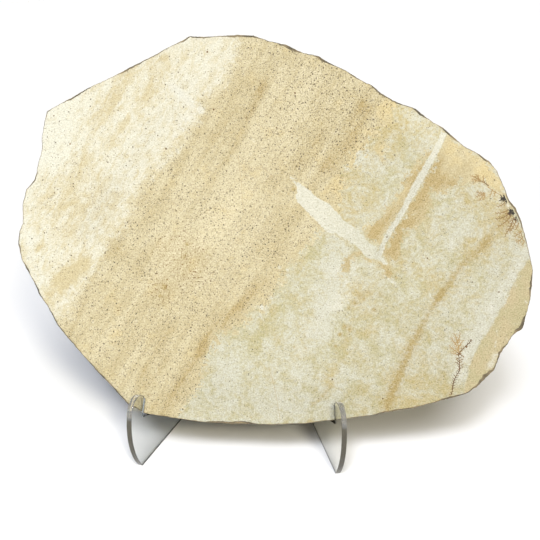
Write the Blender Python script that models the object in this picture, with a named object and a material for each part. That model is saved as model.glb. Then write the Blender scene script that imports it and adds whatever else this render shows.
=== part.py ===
"""A fossil dragonfly's pale print on a limestone slab, which stands on a clear acrylic easel.

Two pieces: the slab, split and broken out of its bed as one plate, and the easel, one sheet of
acrylic cut to a pattern and bent twice into an upright back with two flaring wings. The front is
-Y and up is +Z. The origin is on the floor, under the middle of the whole object.
Lengths are in metres. A name that ends in MM holds millimetres.
"""

import math

import bmesh
import bpy
from mathutils import Vector, noise

MM = 0.001

# The slab, in its own frame: X to the right and Z up along the front face, Y into the stone.
# Its origin is on the front face, level with the places where it stands in the hooks.
SLAB_THICKNESS = 10.0 * MM
SLAB_LEAN = math.radians(22.0)
SLAB_FOOT_HEIGHT = 32.9 * MM
SLAB_SET_BACK = 5.2 * MM  # the foot of the front face, behind the line through the two toes

# The broken rim, clockwise from the upper left corner, as seen from the front.
RIM_MM = (
    (-140.0, 172), (-138.8, 182.5), (-116, 196), (-100, 203.5), (-71, 219), (-52.5, 229),
    (-44, 228.5), (-23.5, 230.5), (-14, 230), (-4, 226.5), (6, 224.5), (9.5, 222.5), (16, 219.5),
    (26, 217.5), (29.5, 215), (41, 210), (54.5, 202), (57, 201.5), (64, 196), (73, 191),
    (84, 187.5), (93.5, 180), (101, 176), (108, 170), (113, 165.5), (122, 161), (127.5, 157.5),
    (132.5, 151), (135.5, 143), (139.5, 134.5), (144, 130), (147.5, 122), (150.5, 111),
    (153, 101), (155, 93), (155, 86), (153.5, 78), (151.5, 69.5), (149.8, 63.5), (149.5, 59),
    (144, 55), (141.5, 50), (137.5, 44), (136, 40), (134, 34), (129, 28.5), (124, 23.5),
    (119, 20), (114, 18), (100, 13.5), (87, 9.5), (74, 7), (64, 4.5), (48, 1.8), (39, 0.4),
    (23, -2), (2.5, -3.5), (-21, -4), (-38, -3.5), (-54, -2), (-70, 0), (-76, 0.5), (-84, 5),
    (-95, 16.5), (-104, 25.5), (-112.5, 34.5), (-123, 45.5), (-129, 52.5), (-135.5, 64),
    (-141, 71), (-144.5, 79), (-149.5, 86.5), (-152.5, 93), (-155, 101.5), (-154, 109),
    (-152, 114), (-152.5, 125.5), (-150.5, 134.5), (-145.5, 141), (-143.5, 148), (-141.3, 158.5),
    (-141.5, 166.5),
)
RIM_STEP_MM = 3.4
SCALLOP_MM = 0.35  # how far small bites leave the rim's straight stretches
SCALLOP_LENGTH_MM = 7.0

# Flakes struck from the front edge show the broken stone. Between them the edge is nearly sharp.
SHARP_EDGE_MM = 0.25
FLAKE_REACH_MM = 1.3
FLAKE_LENGTH_MM = 16.0
BIG_FLAKES_MM = (((150, 58.5), 7, 3.2), ((144.5, 131.5), 11, 2.2), ((10, 222), 8, 1.8))
BACK_BREAK_MM = 2.6

# The back was split by hand, so it dips from its full thickness. Rings share out its faces.
BACK_DIP_MM = 1.1
BACK_WAVE_MM = 42.0
BACK_RINGS = (0.965, 0.9, 0.78, 0.6, 0.4, 0.2)

# The easel, one sheet of acrylic.
SHEET = 3.2 * MM
TOE_GAP = 118.0 * MM  # between the wings' inner faces at the toes
WING_FLARE = math.radians(15.5)
WING_LENGTH = 92.0 * MM
EASEL_HEIGHT = 160.0 * MM
BEND_RADIUS = 7.0 * MM  # to the middle of the sheet
BEND_STEPS = 8

# A wing's front, in the sheet. The first number is how far a point lies ahead of the toe.
FRONT_ARC_RADIUS = 46.8 * MM
FRONT_ARC_CENTRE = Vector((-36.1 * MM, 30.1 * MM))
HOOK_RADIUS = 9.3 * MM
HOOK_TANGENT = math.radians(14.0)
HOOK_END = math.radians(160.0)
LEDGE_FRONT = Vector((-4.4 * MM, 32.4 * MM))
SLOT_WIDTH = SLAB_THICKNESS + 1.8 * MM
SHOULDER_RADIUS = 14.0 * MM
ARC_STEP = math.radians(9.0)

# Where the object's middle lies, measured from the toes and from the slab's middle.
TOE_LINE_Y = -44.6 * MM
EASEL_X = -16.6 * MM


def clear_scene():
    for obj in list(bpy.data.objects):
        bpy.data.objects.remove(obj)


def material(name, colour, roughness, alpha=1.0):
    made = bpy.data.materials.new(name)
    made.use_nodes = True
    shader = made.node_tree.nodes["Principled BSDF"]
    shader.inputs["Base Color"].default_value = (*colour, 1.0)
    shader.inputs["Roughness"].default_value = roughness
    shader.inputs["Metallic"].default_value = 0.0
    shader.inputs["Alpha"].default_value = alpha
    return made


def add_object(name, bm, made_of):
    bmesh.ops.recalc_face_normals(bm, faces=bm.faces)
    mesh = bpy.data.meshes.new(name)
    bm.to_mesh(mesh)
    bm.free()
    mesh.materials.append(made_of)
    obj = bpy.data.objects.new(name, mesh)
    bpy.context.collection.objects.link(obj)
    return obj


# ---- The slab ----


def ripple(along_mm, length_mm, row):
    """Smooth seeded noise from -1 to 1 along the rim. Each row is a different pattern."""
    return noise.noise(Vector((along_mm / length_mm, row * 7.3, 0.5)))


def rim_points():
    """Points round the rim as (place, outward direction, distance along), all in millimetres."""
    corners = [Vector(point) for point in RIM_MM]
    points = []
    along = 0.0
    for start, end in zip(corners, corners[1:] + corners[:1]):
        side = end - start
        outward = Vector((-side.y, side.x)).normalized()
        steps = max(1, round(side.length / RIM_STEP_MM))
        for step in range(steps):
            distance = along + side.length * step / steps
            bite = SCALLOP_MM * abs(ripple(distance, SCALLOP_LENGTH_MM, 1)) if step else 0.0
            points.append((start + side * step / steps - outward * bite, distance))
        along += side.length
    ring = []
    for index, (place, distance) in enumerate(points):
        across = points[(index + 1) % len(points)][0] - points[index - 1][0]
        ring.append((place, Vector((-across.y, across.x)).normalized(), distance))
    return ring


def flake(place, distance):
    """How far the broken stone reaches in from the rim, in millimetres."""
    reach = max(0.0, ripple(distance, FLAKE_LENGTH_MM, 2)) * 2.0 * FLAKE_REACH_MM
    for centre, spread, depth in BIG_FLAKES_MM:
        share = (place - Vector(centre)).length / spread
        reach = max(reach, depth * (1.0 - share * share))
    return SHARP_EDGE_MM + reach


def slab_rings():
    """The slab's skin as rings of points, from the front edge round to the middle of the back."""
    thickness = SLAB_THICKNESS / MM
    front, lip, waist, ledge, back = [], [], [], [], []
    for place, outward, distance in rim_points():
        reach = flake(place, distance)
        broken = BACK_BREAK_MM * (0.5 + 0.5 * abs(ripple(distance, 11.0, 3)))
        lip_depth = min(0.3 * thickness, 0.3 + 0.9 * reach)
        waist_in = 0.25 + 0.5 * abs(ripple(distance, 9.0, 4))
        front.append((place - outward * reach, 0.0))
        lip.append((place, lip_depth))
        waist.append((place - outward * waist_in, 0.5 * thickness))
        ledge.append((place - outward * 0.4 * broken, 0.78 * thickness))
        back.append((place - outward * broken, thickness - 0.4))
    rings = [front, lip, waist, ledge, back]
    middle = sum((place for place, _ in back), Vector((0.0, 0.0))) / len(back)
    for share in BACK_RINGS:
        rings.append([dipped(middle.lerp(place, share), thickness) for place, _ in back])
    return rings, dipped(middle, thickness)


def dipped(place, thickness):
    wave = noise.noise(Vector((place.x / BACK_WAVE_MM, place.y / BACK_WAVE_MM, 3.1)))
    ripples = noise.noise(Vector((place.x / 11.0, place.y / 11.0, 8.4)))
    return place, thickness - BACK_DIP_MM * abs(0.8 * wave + 0.2 * ripples)


def bridge(bm, ring, after):
    for index in range(len(ring)):
        nearby = (index + 1) % len(ring)
        bm.faces.new((ring[index], ring[nearby], after[nearby], after[index]))


def make_slab(made_of):
    bm = bmesh.new()
    rings, back_middle = slab_rings()

    def vertex(point):
        place, depth = point
        return bm.verts.new((place.x * MM, depth * MM, place.y * MM))

    made = [[vertex(point) for point in ring] for ring in rings]
    bm.faces.new(made[0])
    for ring, after in zip(made, made[1:]):
        bridge(bm, ring, after)
    middle = vertex(back_middle)
    for index, corner in enumerate(made[-1]):
        bm.faces.new((corner, made[-1][(index + 1) % len(made[-1])], middle))
    bmesh.ops.triangulate(bm, faces=bm.faces)
    slab = add_object("fossil_slab", bm, made_of)
    slab.rotation_euler.x = -SLAB_LEAN
    slab.location = (0.0, TOE_LINE_Y + SLAB_SET_BACK, SLAB_FOOT_HEIGHT)
    return slab


# ---- The easel ----


def arc(centre, radius, start, end):
    """Points on an arc, both ends included."""
    steps = max(2, math.ceil(abs(end - start) / ARC_STEP))
    angles = [start + (end - start) * step / steps for step in range(steps + 1)]
    return [centre + radius * Vector((math.cos(angle), math.sin(angle))) for angle in angles]


def slot_direction():
    """Up the slab's face, as the wing's own plane cuts it."""
    return Vector((-math.tan(SLAB_LEAN) / math.cos(WING_FLARE), 1.0)).normalized()


def wing_outline():
    """A wing's cut edge from the toe to the rear end of the top, measured from the toe."""
    toe_angle = -math.asin(FRONT_ARC_CENTRE.y / FRONT_ARC_RADIUS)
    tangent = Vector((math.cos(HOOK_TANGENT), math.sin(HOOK_TANGENT)))
    hook_centre = FRONT_ARC_CENTRE + (FRONT_ARC_RADIUS - HOOK_RADIUS) * tangent
    front = arc(FRONT_ARC_CENTRE, FRONT_ARC_RADIUS, toe_angle, HOOK_TANGENT)
    hook = arc(hook_centre, HOOK_RADIUS, HOOK_TANGENT, HOOK_END)
    up = slot_direction()
    along_ledge = Vector((-1.0, -math.tan(SLAB_LEAN) * math.cos(WING_FLARE))).normalized()
    ledge_back = LEDGE_FRONT + along_ledge * SLOT_WIDTH / math.cos(WING_FLARE)
    run_to_top = (EASEL_HEIGHT - ledge_back.y) / up.y
    corner = ledge_back + up * run_to_top
    turn = math.atan2(up.y, -up.x)
    trimmed = SHOULDER_RADIUS * math.tan(turn / 2.0)
    shoulder_centre = Vector((corner.x - trimmed, EASEL_HEIGHT - SHOULDER_RADIUS))
    shoulder = arc(shoulder_centre, SHOULDER_RADIUS, math.pi / 2.0 - turn, math.pi / 2.0)
    return front + hook[1:] + [LEDGE_FRONT, ledge_back] + shoulder


def sheet_half():
    """Half the back's flat width, and half the whole pattern's width, along the sheet."""
    turn = math.pi / 2.0 - WING_FLARE
    toe_x = TOE_GAP / 2.0 + SHEET / 2.0 * math.cos(WING_FLARE)
    flat = toe_x - BEND_RADIUS * math.sin(turn) - WING_LENGTH * math.cos(turn)
    return flat, flat + BEND_RADIUS * turn + WING_LENGTH


def bend_stations():
    """The distances along the pattern at which the sheet turns a little, and by how much."""
    flat, _ = sheet_half()
    turn = math.pi / 2.0 - WING_FLARE
    return [(flat + BEND_RADIUS * turn * step / BEND_STEPS, turn * step / BEND_STEPS)
            for step in range(BEND_STEPS + 1)]


def bent(point):
    """Where a point of the flat pattern, (along, through, height), lies on the bent sheet."""
    flat, _ = sheet_half()
    turn = math.pi / 2.0 - WING_FLARE
    side = math.copysign(1.0, point.x)
    along = abs(point.x)
    angle = min(max((along - flat) / BEND_RADIUS, 0.0), turn)
    straight = max(along - flat - BEND_RADIUS * turn, 0.0)
    x = min(along, flat) + BEND_RADIUS * math.sin(angle) + straight * math.cos(angle)
    y = -BEND_RADIUS * (1.0 - math.cos(angle)) - straight * math.sin(angle)
    x += point.y * math.sin(angle)
    y += point.y * math.cos(angle)
    return Vector((side * x, y, point.z))


def make_easel(made_of):
    _, half = sheet_half()
    right = [Vector((half + point.x, point.y)) for point in wing_outline()]
    left = [Vector((-point.x, point.y)) for point in reversed(right)]
    bm = bmesh.new()
    corners = [bm.verts.new((point.x, -SHEET / 2.0, point.y)) for point in right + left]
    bm.faces.new(corners)
    for along, _ in bend_stations():
        for side in (-1.0, 1.0):
            bmesh.ops.bisect_plane(bm, geom=bm.verts[:] + bm.edges[:] + bm.faces[:],
                                   plane_co=(side * along, 0.0, 0.0), plane_no=(1.0, 0.0, 0.0))
    thick = bmesh.ops.extrude_face_region(bm, geom=bm.faces[:])
    moved = [item for item in thick["geom"] if isinstance(item, bmesh.types.BMVert)]
    bmesh.ops.translate(bm, verts=moved, vec=(0.0, SHEET, 0.0))
    for corner in bm.verts:
        corner.co = bent(corner.co)
    bmesh.ops.triangulate(bm, faces=bm.faces)
    easel = add_object("easel", bm, made_of)
    turn = math.pi / 2.0 - WING_FLARE
    reach = BEND_RADIUS * (1.0 - math.cos(turn)) + WING_LENGTH * math.sin(turn)
    easel.location = (EASEL_X, TOE_LINE_Y + reach, 0.0)
    return easel


clear_scene()
make_slab(material("limestone", (0.74, 0.66, 0.47), 0.75))
make_easel(material("clear_acrylic", (0.93, 0.95, 0.94), 0.02, alpha=0.35))
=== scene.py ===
"""The looks of a fossil dragonfly slab on a clear acrylic easel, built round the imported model.

The limestone slab and the easel are each one closed mesh that stands for its plain solid. The slab's
face is looked at squarely by the camera, so the places of its markings are given as pixels of a
picture 540 pixels wide, and on_face() turns them into millimetres on the face. A name that ends in
PX holds pixels, and one that ends in MM holds millimetres. All other lengths are in metres.
"""

import math
import random
from collections import namedtuple

import bmesh
import bpy
import numpy as np
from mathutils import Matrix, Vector, noise
from mathutils.geometry import delaunay_2d_cdt
from mathutils.kdtree import KDTree


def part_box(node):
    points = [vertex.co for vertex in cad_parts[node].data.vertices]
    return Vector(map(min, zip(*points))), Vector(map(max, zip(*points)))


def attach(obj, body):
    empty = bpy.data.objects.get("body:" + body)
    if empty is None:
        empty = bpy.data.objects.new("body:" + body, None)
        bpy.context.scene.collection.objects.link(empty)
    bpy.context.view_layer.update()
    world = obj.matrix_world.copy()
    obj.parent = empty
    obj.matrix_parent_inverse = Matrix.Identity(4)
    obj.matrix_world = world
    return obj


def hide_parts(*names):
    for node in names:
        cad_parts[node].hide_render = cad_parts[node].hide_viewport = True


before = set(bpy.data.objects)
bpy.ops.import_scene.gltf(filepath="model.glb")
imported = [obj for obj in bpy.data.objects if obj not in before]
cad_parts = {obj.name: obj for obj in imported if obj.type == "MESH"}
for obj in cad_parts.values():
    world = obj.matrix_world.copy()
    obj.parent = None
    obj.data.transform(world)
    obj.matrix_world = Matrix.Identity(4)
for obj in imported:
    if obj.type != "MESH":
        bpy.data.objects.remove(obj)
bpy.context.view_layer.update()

MM = 0.001
SURELY_NOT_ZERO = 1e-9  # keeps a division safe where a length may be nothing

# ---- The camera ----

PICTURE_PX = 540
FOCAL_PX = 900.0
SENSOR_MM = 36.0
CLIP_START = 0.01
CAMERA_TARGET = Vector((-0.0001, -0.0055, 0.1158))
CAMERA_DISTANCE = 0.54
CAMERA_ELEVATION = math.radians(22.2)
CAMERA_TURN = math.radians(4.08)


def camera_axes():
    """The way the camera looks, its right and its up."""
    level = math.cos(CAMERA_ELEVATION)
    looks = Vector((-level * math.sin(CAMERA_TURN), level * math.cos(CAMERA_TURN),
                    -math.sin(CAMERA_ELEVATION)))
    right = Vector((math.cos(CAMERA_TURN), math.sin(CAMERA_TURN), 0.0))
    return looks, right, right.cross(looks)


def make_camera():
    """The camera at the picture's angle."""
    looks, _, _ = camera_axes()
    lens = bpy.data.cameras.new("camera")
    lens.sensor_width = SENSOR_MM
    lens.lens = SENSOR_MM * FOCAL_PX / PICTURE_PX
    lens.clip_start = CLIP_START
    camera = bpy.data.objects.new("camera", lens)
    camera.location = CAMERA_TARGET - CAMERA_DISTANCE * looks
    camera.rotation_euler = looks.to_track_quat("-Z", "Y").to_euler()
    bpy.context.scene.collection.objects.link(camera)
    bpy.context.scene.camera = camera


# ---- The slab's own frame: right and up along the face, and into the stone ----

SLAB_LEAN = math.radians(22.0)
FOOT_HEIGHT = 32.9 * MM  # of the point on the face from which the face is measured
FACE_RIGHT = Vector((1.0, 0.0, 0.0))
FACE_UP = Vector((0.0, math.sin(SLAB_LEAN), math.cos(SLAB_LEAN)))
INTO_STONE = Vector((0.0, math.cos(SLAB_LEAN), -math.sin(SLAB_LEAN)))


def face_origin():
    """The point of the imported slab's front face in the middle of its width, at the foot's height."""
    depth = min(corner.co.dot(INTO_STONE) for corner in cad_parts["fossil_slab"].data.vertices)
    return Vector((0.0, (depth - FOOT_HEIGHT * INTO_STONE.z) / INTO_STONE.y, FOOT_HEIGHT))


ORIGIN = face_origin()


def on_face(pixels):
    """Where the camera's rays through some pixels meet the face, in millimetres on the face."""
    looks, right, up = camera_axes()
    camera = CAMERA_TARGET - CAMERA_DISTANCE * looks
    places = []
    for across, down in pixels:
        ray = (looks + right * (across - PICTURE_PX / 2) / FOCAL_PX
               + up * (PICTURE_PX / 2 - down) / FOCAL_PX)
        reach = (ORIGIN - camera).dot(INTO_STONE) / ray.dot(INTO_STONE)
        place = camera + ray * reach - ORIGIN
        places.append((place.dot(FACE_RIGHT) / MM, place.dot(FACE_UP) / MM))
    return np.array(places)


PX_MM = CAMERA_DISTANCE / FOCAL_PX / MM  # about how wide a pixel is on the face


# ---- Where the markings lie ----

WING_UPPER_PX = (
    (289, 176.5), (291.5, 177.5), (296.6, 181.2), (304, 186.5), (310.6, 191), (315.7, 196.6), (322, 200.4),
    (329, 203.8), (334.8, 210), (339.3, 215.6), (345.7, 221.6), (353.3, 226.8), (360.4, 232.4),
    (367.4, 241), (371.8, 245), (377, 248),
)
WING_LOWER_PX = (
    (291, 178.5), (295.9, 184.2), (297.4, 190), (295.9, 195.7), (296.6, 200.8), (304, 208.5),
    (310.6, 215.5), (315.7, 220), (320.8, 225.7), (327.2, 232), (336, 233.8), (342.5, 237.6),
    (350.2, 241.6), (356.5, 246), (361.6, 250.5), (364, 256), (370, 259), (378, 260),
)
STRIPE_LEFT_PX = (
    (441.6, 131.5), (433.3, 149.3), (420.5, 171), (410.3, 188.9), (402.3, 206.7), (394.6, 220.8),
    (386.9, 231), (380.6, 245), (376.5, 255),
)
STRIPE_RIGHT_PX = (
    (447.2, 133.5), (439.8, 149.6), (428.4, 171.3), (418.2, 189.2), (408, 207), (400.2, 221),
    (392.6, 231.3), (385, 245.3), (382, 256),
)
TAIL_PX = ((376, 252), (383, 259), (388.5, 264.5), (386.5, 266), (380, 261.5), (373, 256))
TAIL_SCRATCH_PX = ((384, 275.5), (390, 280.5), (397, 285.7))

CREAM_EDGE_PX = (
    (236, 25), (237.5, 49), (234, 62), (224, 79), (213, 92), (199, 100), (203, 110), (196, 121),
    (184, 139), (171, 156), (157, 167), (145, 182), (134, 198), (131, 210), (124, 228), (110, 240),
    (104, 256), (98, 268), (88, 278), (80, 291), (67, 312), (55, 321), (40, 332),
)
PALE_EDGE_PX = (
    (178, 440), (181, 419), (186, 404), (193, 396), (201, 381), (200, 370), (211, 352), (221, 333),
    (247, 324), (251, 313), (268, 306), (273, 297), (283, 277), (283, 268), (293, 261), (304, 250),
    (313, 238), (322, 229), (334, 220), (340, 209), (340, 193), (347, 181), (343, 171), (353, 165),
    (354, 152), (366, 150), (369, 140), (380, 131), (388, 121), (391, 113), (394, 104), (402, 85),
)
# Corners off the slab that close the tan band's outline.
BAND_OUTSIDE_PX = ((30, 450), (420, 20))

TAN_PATCHES_PX = (
    # left of the stripe
    ((434, 152), (424, 170), (414, 187), (405, 203), (398, 217), (390, 229), (382, 246), (376, 245),
     (368, 237), (362, 230), (366, 225), (376, 220), (386, 213), (393, 204), (401, 190), (407, 178),
     (416, 164), (427, 152)),
    # right of it, from the rim down to the wing's foot
    ((448, 133), (456, 140), (470, 149), (487, 163), (500, 178), (508, 196), (503, 197), (492, 187),
     (483, 181), (470, 182), (463, 187), (459, 179), (450, 190), (441, 195), (432, 191), (429, 198),
     (434, 206), (425, 213), (425, 223), (415, 229), (408, 226), (404, 237), (401, 250), (400, 258),
     (392, 262), (385, 258), (382, 252), (386, 244), (394, 231), (402, 219), (410, 206), (419.5, 190),
     (430, 171), (441, 151)),
    # the scraps round the wing's foot
    ((378, 263), (382, 261.5), (388, 266.5), (394, 272), (396, 278), (390, 277), (383, 272)),
    ((365.5, 257.5), (372, 257), (374.5, 261.5), (368, 263)),
    ((344, 259), (355, 252.5), (361.5, 254), (352, 262), (348, 268), (343, 269.5), (339.5, 276),
     (337, 272), (342, 265)),
    # by the rim, between the band and the stripe
    ((380, 108), (388, 108), (392, 114), (389, 121), (382, 119)),
    ((378, 144), (385, 145), (387, 153), (383, 160), (379, 152)),
)

OLIVE_EDGE_PX = (
    (536, 252), (527, 263), (517, 275), (508.6, 296), (501.4, 309), (492.9, 324.5), (480, 343), (473, 357),
    (468.6, 369), (464.5, 394), (462, 404),
)
OLIVE_OUTSIDE_PX = ((500, 425), (565, 330))

# Soft lines of colour: half width in millimetres, how strong, and places in pixels.
# First where the tan and the cream are more ochre, and where they are less so.
OCHRE_LINES = (
    (5, 0.11, (287, 54), (255, 104), (224, 155), (192, 206), (160, 257)), (6, 0.25, (75, 270), (55, 303)),
    (4, 0.18, (235, 316), (214, 350)),
    (3.8, 0.19, (241, 55), (234, 78), (224, 96), (208, 116), (199, 134), (184, 155)),
    (4.2, 0.15, (184, 155), (170, 182), (152, 205), (130, 234), (113, 256)),
    (1.5, 0.34, (106, 256), (96, 272), (86, 296), (77, 320), (69, 336)),
    (5.5, 0.12, (118, 236), (112, 252)), (10, 0.08, (252, 86), (236, 106), (219, 134), (208, 156)),
    (2.8, 0.34, (266, 84), (252, 110), (239, 140), (228, 162)), (4, 0.12, (264, 88), (255, 104)),
    (2.2, 0.2, (226, 166), (212, 192), (196, 222), (184, 246)),
    (7, 0.12, (205, 88), (186, 128), (152, 182), (112, 236)),
    (4.5, 0.16, (146, 196), (150, 212), (142, 226)),
    (5.5, 0.5, (364, 106), (358, 122), (345, 146), (328, 166)), (10, 0.14, (152, 262), (128, 300)),
    (5, 0.26, (345, 92), (334, 116), (316, 142), (298, 166)),
    (4.5, 0.2, (322, 168), (300, 205), (284, 240), (266, 278)), (4, 0.2, (322, 132), (314, 152)),
    (3.6, 0.42, (264, 282), (244, 302), (226, 314), (211, 332), (201, 352)),
    (4.5, 0.4, (204, 344), (190, 366), (176, 390), (164, 414)), (3, 0.3, (243, 306), (238, 318)),
    (4, 0.34, (148, 364), (141, 384)), (8, 0.12, (136, 314), (122, 342), (104, 372)),
    (5, 0.2, (172, 330), (160, 352)), (6, 0.12, (196, 250), (176, 282), (160, 300)),
    (4.6, 0.36, (134, 62), (124, 78), (110, 102), (94, 122)), (5, 0.34, (164, 60), (156, 78), (147, 99)),
    (3.4, 0.2, (127, 120), (112, 138), (104, 146)), (5.5, 0.34, (84, 160), (72, 186), (64, 206)),
    (7.5, 0.24, (104, 186), (84, 208), (66, 234)), (4, 0.2, (118, 196), (104, 222)),
    (5, 0.2, (62, 170), (50, 190), (42, 216)), (1.5, 0.55, (43, 243), (37, 251)),
    (3.2, 0.45, (64, 271), (55, 284), (47, 300)), (5, 0.62, (84, 262), (64, 280)),
    (10, 0.16, (470, 150), (500, 190), (512, 215)),
    (6, 0.46, (436, 160), (424, 180), (432, 186), (418, 204)),
    (4, 0.34, (424, 174), (438, 176), (452, 184)), (5.5, 0.55, (408, 222), (398, 240), (392, 252)),
    (5, 0.36, (414, 175), (400, 196), (386, 218), (374, 234)),
    (3.5, 0.2, (378, 222), (372, 236), (380, 242)), (3, 0.45, (368, 258), (384, 268), (396, 277)),
    (4, 0.4, (355, 256), (342, 268)),
)
LIGHT_LINES = (
    (6, 0.17, (252, 43), (226, 86), (194, 137), (162, 188), (130, 238)),
    (6, 0.14, (350, 104), (323, 147), (292, 198)), (6, 0.15, (238, 235), (207, 286)),
    (10, 0.18, (206, 172), (176, 216), (152, 246)),
    (5, 0.36, (283, 70), (264, 108), (248, 142), (234, 168)),
    (7, 0.24, (310, 75), (290, 110), (268, 150), (250, 185)),
    (5.5, 0.26, (234, 168), (216, 194), (190, 230), (164, 262), (132, 300), (104, 345)),
    (8, 0.52, (240, 196), (226, 216), (208, 236)), (7, 0.3, (462, 142), (482, 165), (500, 186)),
    (1.6, 0.16, (97, 272), (84, 300), (70, 325)), (10, 0.36, (66, 106), (58, 132), (52, 160)),
    (8, 0.08, (186, 84), (168, 118), (142, 152), (120, 182)), (8, 0.06, (216, 50), (200, 78)),
)
# Where the pale part's olive crumbs crowd, and where they are few.
CRUMB_LINES = (
    (5, 0.2, (366, 315), (338, 360)), (9, 0.16, (398, 112), (372, 150), (352, 185), (342, 215)),
    (7, 0.08, (313, 240), (292, 272), (273, 300)), (10, 0.16, (345, 402), (400, 408), (440, 398)),
    (6, 0.13, (362, 272), (348, 305), (336, 345), (322, 390)),
    (8, 0.14, (405, 262), (392, 300), (372, 345), (352, 390)), (6, 0.18, (428, 200), (412, 240)),
    (12, 0.16, (250, 330), (300, 300), (320, 290)), (8, 0.12, (450, 255), (425, 300), (410, 335)),
    (9, 0.25, (412, 388), (440, 385)), (5, 0.12, (355, 125), (340, 165), (336, 195)),
    (9, 0.18, (400, 130), (392, 160), (375, 190)), (7, 0.15, (492, 222), (470, 200)),
    (4.5, 0.12, (322, 236), (312, 255), (300, 275)), (5.5, 0.34, (264, 330), (250, 354)),
    (3.5, 0.26, (244, 384), (250, 404)), (6, 0.22, (500, 228), (470, 262)),
)
CLEAN_LINES = (
    (5, 0.24, (350, 378), (330, 408)), (8, 0.4, (338, 262), (328, 290), (318, 330)),
    (6, 0.26, (352, 152), (366, 160), (388, 168)), (8, 0.12, (262, 330), (240, 370)),
    (11, 0.16, (228, 368), (236, 400), (290, 404)),
    (5.5, 0.35, (527, 252), (500, 295), (468, 348), (460, 372)), (5, 0.12, (470, 215), (455, 236)),
)
# Lines along which the face is made darker, or lighter where the strength is negative.
DARKENED_LINES = (
    (2.4, 0.1, (428, 166), (414, 189), (401, 212), (389, 233), (379, 254)),
    (9, -0.07, (462, 142), (482, 165), (504, 196)), (8, -0.06, (240, 196), (226, 216), (208, 236)),
    (10, 0.075, (110, 194), (90, 228)), (8, 0.045, (160, 120), (140, 150), (122, 176)),
    (6, 0.03, (186, 84), (176, 112)), (14, 0.06, (190, 395), (280, 402), (330, 410)),
    (8, 0.02, (222, 352), (215, 392)), (7, -0.035, (482, 284), (470, 320)),
    (7, -0.03, (430, 262), (412, 290)), (9, 0.02, (350, 96), (336, 128)),
    (7, -0.02, (300, 245), (305, 262)), (7, -0.09, (398, 108), (436, 134)),
    (4, -0.03, (372, 225), (380, 240)),
)
# Where the tan and the crumbs are golden.
GOLD_LINES = (
    (8, -0.3, (325, 350), (300, 392)), (12, 0.45, (398, 112), (372, 150), (352, 185), (342, 215)),
    (9, 0.2, (430, 150), (412, 200), (395, 245), (362, 272), (340, 345), (322, 390)),
    (8, 0.32, (505, 225), (460, 268), (430, 320), (395, 390)), (9, -0.35, (240, 345), (215, 400)),
    (9, -0.3, (200, 405), (330, 412)), (14, 0.35, (470, 150), (505, 200), (525, 260)),
    (8, 0.5, (395, 105), (432, 128)), (9, 0.22, (470, 200), (495, 220), (480, 250)),
    (9, 0.3, (400, 400), (445, 390)),
)
# Stains in the stone.
WHITE_LINES = (
    (0.7, 0.7, (497.2, 330.5), (496.2, 339), (495.3, 347)),
    (4.2, 0.42, (527, 252), (514, 270), (502, 293), (490, 315), (479, 332), (468, 348), (460, 372)),
    (2.2, 0.6, (494, 355), (490, 366)), (2.6, 0.62, (166, 82), (182, 94), (194, 104), (201, 111)),
    (3.4, 0.34, (176, 88), (190, 112), (181, 122)),
    (4.6, 0.26, (196, 112), (182, 128), (165, 155), (150, 176)), (2.5, 0.35, (215, 84), (206, 96)),
    (3.8, 0.55, (45, 112), (43, 135), (38, 160), (26, 190)), (4.5, 0.4, (24, 222), (32, 262), (48, 292)),
    (4, 0.35, (70, 290), (58, 304)), (7, 0.28, (330, 268), (338, 288), (322, 318), (300, 350), (290, 385)),
    (4, 0.35, (355, 262), (350, 285), (338, 310)), (4, 0.3, (470, 215), (455, 236), (446, 252)),
)
RUST_LINES = (
    (2.4, 0.62, (489, 240), (480, 249), (462, 266), (449, 284), (438, 299)),
    (2.2, 0.55, (442, 292), (428.6, 314), (418.6, 333), (410, 349), (401.4, 371.4), (393, 391.4),
     (386, 411)),
    (5, 0.3, (420, 331), (408, 354), (398, 376), (389, 400), (384, 412)),
    (7.5, 0.16, (396, 380), (386, 408)), (4.6, 0.34, (508, 213), (497, 228), (484, 243)),
    (1.4, 0.5, (331, 385), (322, 397), (313, 404)), (2.4, 0.24, (430, 205), (420, 220)),
    (5, 0.42, (504, 205), (506, 214), (508, 226)), (3.4, 0.28, (521, 231), (517, 241)),
    (2, 0.14, (481, 181), (475, 178)), (2.2, 0.14, (482, 194), (479, 198)),
    (2.6, 0.14, (457, 347), (453, 338)), (3, 0.3, (447, 372), (438, 380), (446, 366)),
)
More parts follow.
